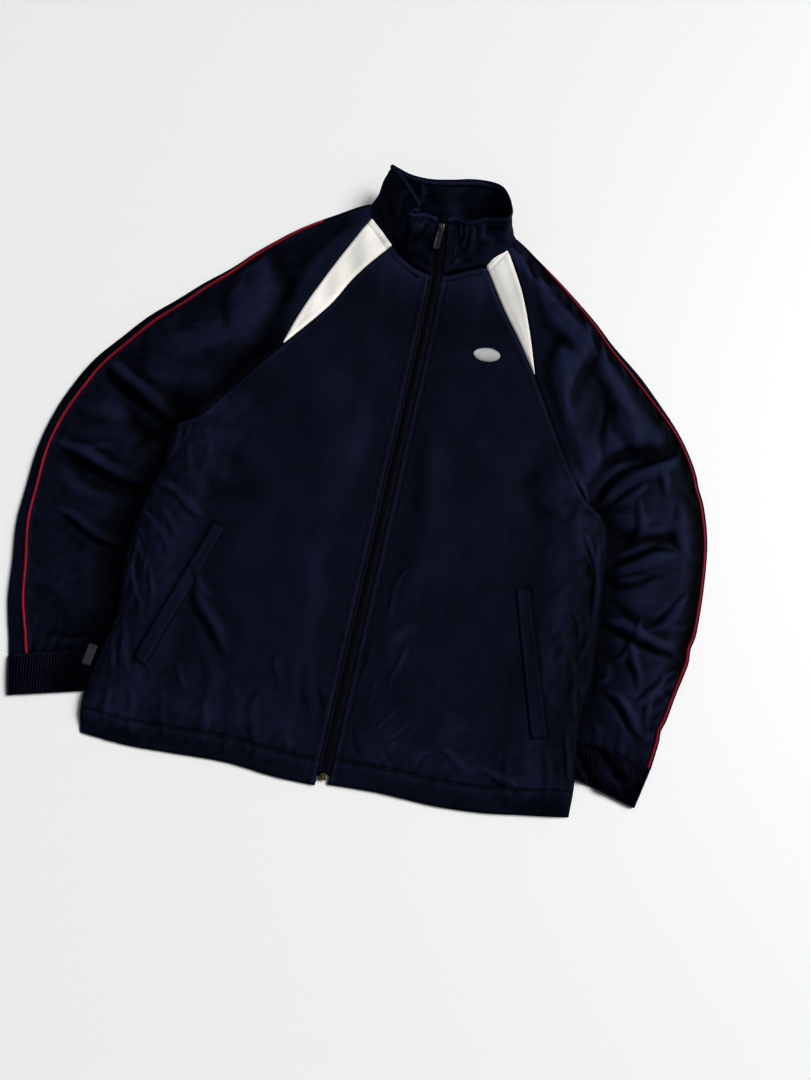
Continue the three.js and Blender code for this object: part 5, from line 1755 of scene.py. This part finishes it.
@dataclass
class Hardware:
    """The zip's metal: slider with its bridge, ridged pull tab, and the box at the foot.

    Attributes:
        slider_at: The zip's own axes at the slider.
        pull_at: The pull's own axes, on its hinge line, as it hangs at rest.
        box_at: The bottom box's centre.
        pull_tip: Where the pull's plate ends, along the pull from its hinge line.
        pull_head: Where the plate begins.
    """

    dresser: Dresser
    slider_at: Axes = Axes((-6.72, 377.93, 39.68), (0.9973, 0.0653, 0.0256), (0.0, -0.3659, 0.9306))
    pull_at: Axes = Axes((-6.722, 376.359, 43.686), (0.99756, -0.06496, -0.02555),
                         (-0.0036, -0.4137, 0.9104))
    box_at: tuple[float, float, float] = (-5.0, -320.8, 3.7)
    pull_tip: float = -26.9
    pull_head: float = -5.5

    def build_slider(self) -> None:
        """A crowned plate, narrow at its foot, and a bridge that arches over the pull's bar."""
        run = np.linspace(-5.5, 5.5, 30)
        ends = np.sqrt(1 - np.abs(run / 5.6) ** 6)
        wide = (3.2 + 0.8 * ramp(run, -5.5, 0) - 0.5 * ramp(run, 1, 5.5)) * (0.55 + 0.45 * ends)
        plate = sections(run, wide, 0.85 * ends + 0.05)
        plate[..., 2] += 2.2 + 0.3 * np.cos(run / 5.5 * 1.4)[:, None] * (plate[..., 2] > 0)
        turn = np.linspace(0, np.pi, 26)
        arch = np.column_stack([np.zeros(26), -3.5 * np.cos(turn), 2.7 + 3.25 * np.sin(turn) ** 0.6])
        rails = [np.column_stack([np.full(12, x), np.linspace(-4.6, 4.2, 12), np.full(12, 2.9)])
                 for x in (-2.5, 2.5)]
        bodies = [self.slider_at.place(plate)]
        bodies += [rod(self.slider_at.place(path), size) for path, size in
                   ((arch, 0.65), (rails[0], 0.42), (rails[1], 0.42))]
        dress(joined("slider_body", *bodies), METAL, self.dresser, "zip_slider", on_cloth=False)

    def build_pull(self) -> None:
        """A loop round the slider's bridge and a plate with a raised rim and plain ridges across."""
        down = np.linspace(0, 1, 84)[:, None]
        along_pull = self.pull_tip + (self.pull_head - self.pull_tip) * down
        tip = np.clip((-24.7 - along_pull) / 2.3, 0, 1)
        wide = 3.5 - 2.0 * (1 - np.sqrt(1 - 0.98 * tip ** 2)) - 0.6 * ramp(along_pull, -7.2, -5.6)
        across = np.linspace(-1, 1, 27)[None] * wide
        ends = np.minimum(along_pull - self.pull_tip, self.pull_head - along_pull)
        inside = np.minimum(wide - np.abs(across), ends)
        panel = ramp(inside, 0.7, 1.2)
        ridges = 0.26 * np.cos(2 * np.pi * along_pull / 2.1) * panel
        grid = np.stack(np.broadcast_arrays(across, along_pull, 0.12 - 0.30 * panel + ridges), axis=-1)
        made = wall("pull_plate", self.pull_at.place(grid), 1.0)
        dress(made, METAL, self.dresser, "zip_pull", body=PULL, on_cloth=False)
        turn = np.linspace(0, np.pi, 18)
        bow = np.column_stack([-2.3 * np.cos(turn), -0.9 + 0.9 * np.sin(turn) ** 0.5, np.zeros(18)])
        legs = np.linspace(-6.6, -1.3, 9)
        path = np.vstack([[(-2.3, y, 0) for y in legs], bow, [(2.3, y, 0) for y in legs[::-1]]])
        dress(joined("pull_loop", rod(self.pull_at.place(path), 0.62)), METAL, self.dresser, "zip_pull",
              body=PULL, on_cloth=False)

    def build_box(self) -> None:
        """The box and the pin's foot beside it, with a slit between them."""
        run = np.linspace(-4, 4, 18)
        ends = 0.25 + 0.75 * np.sqrt(1 - np.abs(run / 4.05) ** 8)
        bodies = []
        for middle, half in ((-1.3, 2.35), (2.5, 1.15)):
            block = sections(run, half * ends, 1.7 * ends, 0.3)
            block[..., 0] += middle
            bodies.append(block + np.array(self.box_at))
        dress(joined("bottom_box", *bodies), BRASS, self.dresser, "zip_box", on_cloth=False)

    def build(self) -> None:
        """Builds slider, pull and box."""
        self.build_slider()
        self.build_pull()
        self.build_box()


@dataclass
class Pockets:
    """The slanted welt pockets.

    Attributes:
        thickness: The folded welt's thickness.
    """

    dresser: Dresser
    stitches: Stitching
    thickness: float = 1.6

    def build(self) -> None:
        """Builds each welt on its front, with its stitches along the seam and across both ends."""
        for side in Side:
            table = WELT[side]
            opened = along(table, 120, "open_x", "open_y")
            sewn = along(table, 120, "sewn_x", "sewn_y")
            share = np.linspace(0, 1, 16)[None, :, None]
            plan = opened[:, None] * (1 - share) + sewn[:, None] * share
            height = Layers.upper(plan[..., 0], plan[..., 1]) + CLOTH / 2 + self.thickness / 2
            inward = share[..., 0] * np.linalg.norm(sewn - opened, axis=1)[:, None]
            height = height + 0.7 * bell(inward, 2.5, 2.5) - 0.9 * ramp(share[..., 0], 0.86, 1)
            ends = np.minimum(np.arange(120), np.arange(120)[::-1])[:, None] * 1.55
            height = height - 0.8 * (1 - ramp(ends, 0, 4))
            grid = np.dstack([plan, height])
            middle = np.abs(share[..., 0] - 0.5) * 2
            # Painted shade along the welt's long edges and at both ends.
            shade = (1.06 - 0.7 * ramp(middle, 0.76, 1)) * (0.5 + 0.5 * ramp(ends, 0, 3))
            lay_cloth(f"pocket_welt_{side.value}", grid, NAVY, self.dresser, f"welt_{side.value}",
                      shade, self.thickness)
            self.stitches.run(on_front(shifted(sewn, side.turn * 2.0), 0.1))
            skin = grid[:, 12].copy()
            skin[:, 2] += self.thickness / 2 + 0.05
            self.stitches.run(skin[2:-2])
            for end in (3, -4):
                across = grid[end].copy()
                across[:, 2] += self.thickness / 2 + 0.1
                self.stitches.run(across[1:-1])


@dataclass
class Trims:
    """The plain tab on the cuff and the plain satin-stitched oval on the chest.

    Attributes:
        oval: Half width and half height of the chest oval.
        at: Its centre.
        tab: Half width and half length of the tab.
        tab_turn: The tab's turn about Z, in radians.
        tab_thickness: Its thickness.
    """

    dresser: Dresser
    oval: tuple[float, float] = (17.0, 11.0)
    at: tuple[float, float] = (84.0, 231.0)
    tab: tuple[float, float] = (5.3, 12.2)
    tab_turn: float = -0.1
    tab_thickness: float = 0.8

    def build_tab(self) -> None:
        """A woven tab, folded over the cuff seam: a gently domed strip with ridges across it."""
        low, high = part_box("label_tab")
        centre = np.array([(low.x + high.x) / 2, (low.y + high.y) / 2]) / MM
        turn, (half_w, half_h) = self.tab_turn, self.tab
        across, down = np.meshgrid(np.linspace(-half_w, half_w, 14), np.linspace(-half_h, half_h, 44))
        plan = np.stack([centre[0] + across * math.cos(turn) - down * math.sin(turn),
                         centre[1] + across * math.sin(turn) + down * math.cos(turn)], axis=-1)
        height = low.z / MM + 0.7 + 0.9 * np.cos(down / half_h * 1.3) + 0.12 * np.cos(down * 3.0)
        grid = np.dstack([plan, height])
        lay_cloth("plain_tab", grid, SILVER, self.dresser, "label_tab",
                  thickness=self.tab_thickness)

    def build_oval(self) -> None:
        """A satin-stitched oval: slanted parallel threads, each as long as the oval is there."""
        lean = math.radians(24)
        half_w, half_h = self.oval
        offsets = np.arange(-half_w, half_w, 0.42)
        chord = half_h * np.sqrt(np.clip(1 - (offsets / half_w) ** 2, 0.01, 1))
        shape, faces = bead(6, 7)
        draw = np.random.default_rng(SEED)
        chord = chord * (1 + 0.02 * draw.standard_normal(len(chord)))
        plan = np.column_stack([self.at[0] + offsets, self.at[1] + 0 * offsets])
        height = Layers.upper(plan[:, 0], plan[:, 1]) + CLOTH / 2 + 0.25
        centres = np.column_stack([plan, height])
        way = np.array([math.sin(lean) * 0.35, math.cos(lean), 0.0])
        axes = np.stack([chord[:, None] * way[None], np.tile([-0.30, 0.0, 0.0], (len(chord), 1)),
                         np.tile([0.0, 0.0, 0.75], (len(chord), 1))], axis=1)
        made = repeated("chest_oval", shape, faces, centres, axes)
        dress(made, SATIN, self.dresser, on_cloth=False)

    def build(self) -> None:
        """Builds both trims."""
        self.build_tab()
        self.build_oval()


@dataclass
class Studio:
    """Camera at the photo's angle, plain pale floor and soft light.

    Attributes:
        position: Camera place in metres.
        heading: Turn of the camera about Z, in radians.
        tilt: Tilt from straight down, in radians.
        lens: Focal length for a 36 mm long side.
    """

    position: tuple[float, float, float] = (0.07369, -0.230, 0.980)
    heading: float = math.radians(11.838)
    tilt: float = math.radians(12.0)
    lens: float = 811 / 1080 * 36

    def build_camera(self) -> None:
        """The camera looks down, leaning forward by the tilt and turned by the heading."""
        data = bpy.data.cameras.new("camera")
        data.lens, data.sensor_width = self.lens, 36
        data.clip_start, data.clip_end = 0.01, 20
        camera = bpy.data.objects.new("camera", data)
        bpy.context.scene.collection.objects.link(camera)
        turn = Matrix.Rotation(self.heading, 4, "Z") @ Matrix.Rotation(self.tilt, 4, "X")
        camera.matrix_world = Matrix.Translation(Vector(self.position)) @ turn
        bpy.context.scene.camera = camera

    @staticmethod
    def build_floor() -> None:
        """A large pale floor with a slow, faint unevenness."""
        half = 3000.0
        corners = np.array([(-half, -half, 0), (half, -half, 0), (half, half, 0), (-half, half, 0)])
        floor = mesh_object("floor", corners - (0, 0, 0.05), [np.array([[0, 1, 2, 3]])])
        paint = bpy.data.materials.new("pale_floor")
        paint.use_nodes = True
        shader = paint.node_tree.nodes["Principled BSDF"]
        shader.inputs["Base Color"].default_value = (0.80, 0.815, 0.82, 1)
        shader.inputs["Roughness"].default_value = 0.6
        floor.data.materials.append(paint)

    @staticmethod
    def light(name: str, kind: str, place: tuple[float, float, float], colour: tuple[float, float, float],
              **values: float | str) -> None:
        """One soft light that shines from its place at the jacket's middle.

        Args:
            name: The light's name.
            kind: SUN or AREA.
            place: Where it stands, or for a sun the way to it.
            colour: Its colour, linear.
            values: Its energy, its size or angle, and its shape.
        """
        data = bpy.data.lights.new(name, kind)
        data.color = colour
        for key, value in values.items():
            setattr(data, key, value)
        light = bpy.data.objects.new(name, data)
        bpy.context.scene.collection.objects.link(light)
        light.location = place
        light.rotation_euler = (-Vector(place)).to_track_quat("-Z", "Y").to_euler()

    def build(self) -> None:
        """Camera, floor, lights and the room."""
        self.build_camera()
        self.build_floor()
        view = bpy.context.scene.view_settings
        view.view_transform, view.gamma = "Standard", 0.76
        self.light("window", "SUN", (0.68, 0.42, 0.68), (1.0, 0.99, 0.975), energy=4.15,
                   angle=math.radians(30))
        self.light("fill", "AREA", (2.1, 0.35, 1.7), (1.0, 0.995, 0.985), energy=13, size=1.6,
                   shape="SQUARE")
        self.build_world()

    @staticmethod
    def build_world() -> None:
        """A room that is pale round the sides and dim overhead."""
        world = bpy.data.worlds.new("room")
        world.use_nodes = True
        tree, links = world.node_tree, world.node_tree.links
        place, split = add_node(tree, "TexCoord"), add_node(tree, "SeparateXYZ")
        ends = {"From Min": 0.25, "From Max": 0.95, "To Min": 0.28, "To Max": 0.12}
        shade = add_node(tree, "MapRange", ends, interpolation_type="SMOOTHSTEP")
        links.new(place.outputs["Generated"], split.inputs[0])
        links.new(split.outputs["Z"], shade.inputs["Value"])
        back = tree.nodes["Background"]
        back.inputs["Color"].default_value = (0.96, 0.98, 1.0, 1)
        links.new(shade.outputs["Result"], back.inputs["Strength"])
        bpy.context.scene.world = world


def main() -> None:
    """Builds the jacket piece by piece."""
    logging.basicConfig(level=logging.INFO, format="%(name)s %(message)s")
    Studio().build()
    dresser = Dresser()
    stitches, pale = Stitching(), Stitching(width=0.5)
    Body(dresser, stitches).build()
    Sleeves(dresser, stitches, pale).build()
    Collar(dresser, stitches).build()
    Zip(dresser).build()
    Hardware(dresser).build()
    Pockets(dresser, stitches).build()
    Trims(dresser).build()
    dress(stitches.build("navy_topstitch"), THREAD, dresser, on_cloth=False)
    dress(pale.build("pale_topstitch"), PALE_THREAD, dresser, on_cloth=False)


if __name__ == "__main__":
    main()
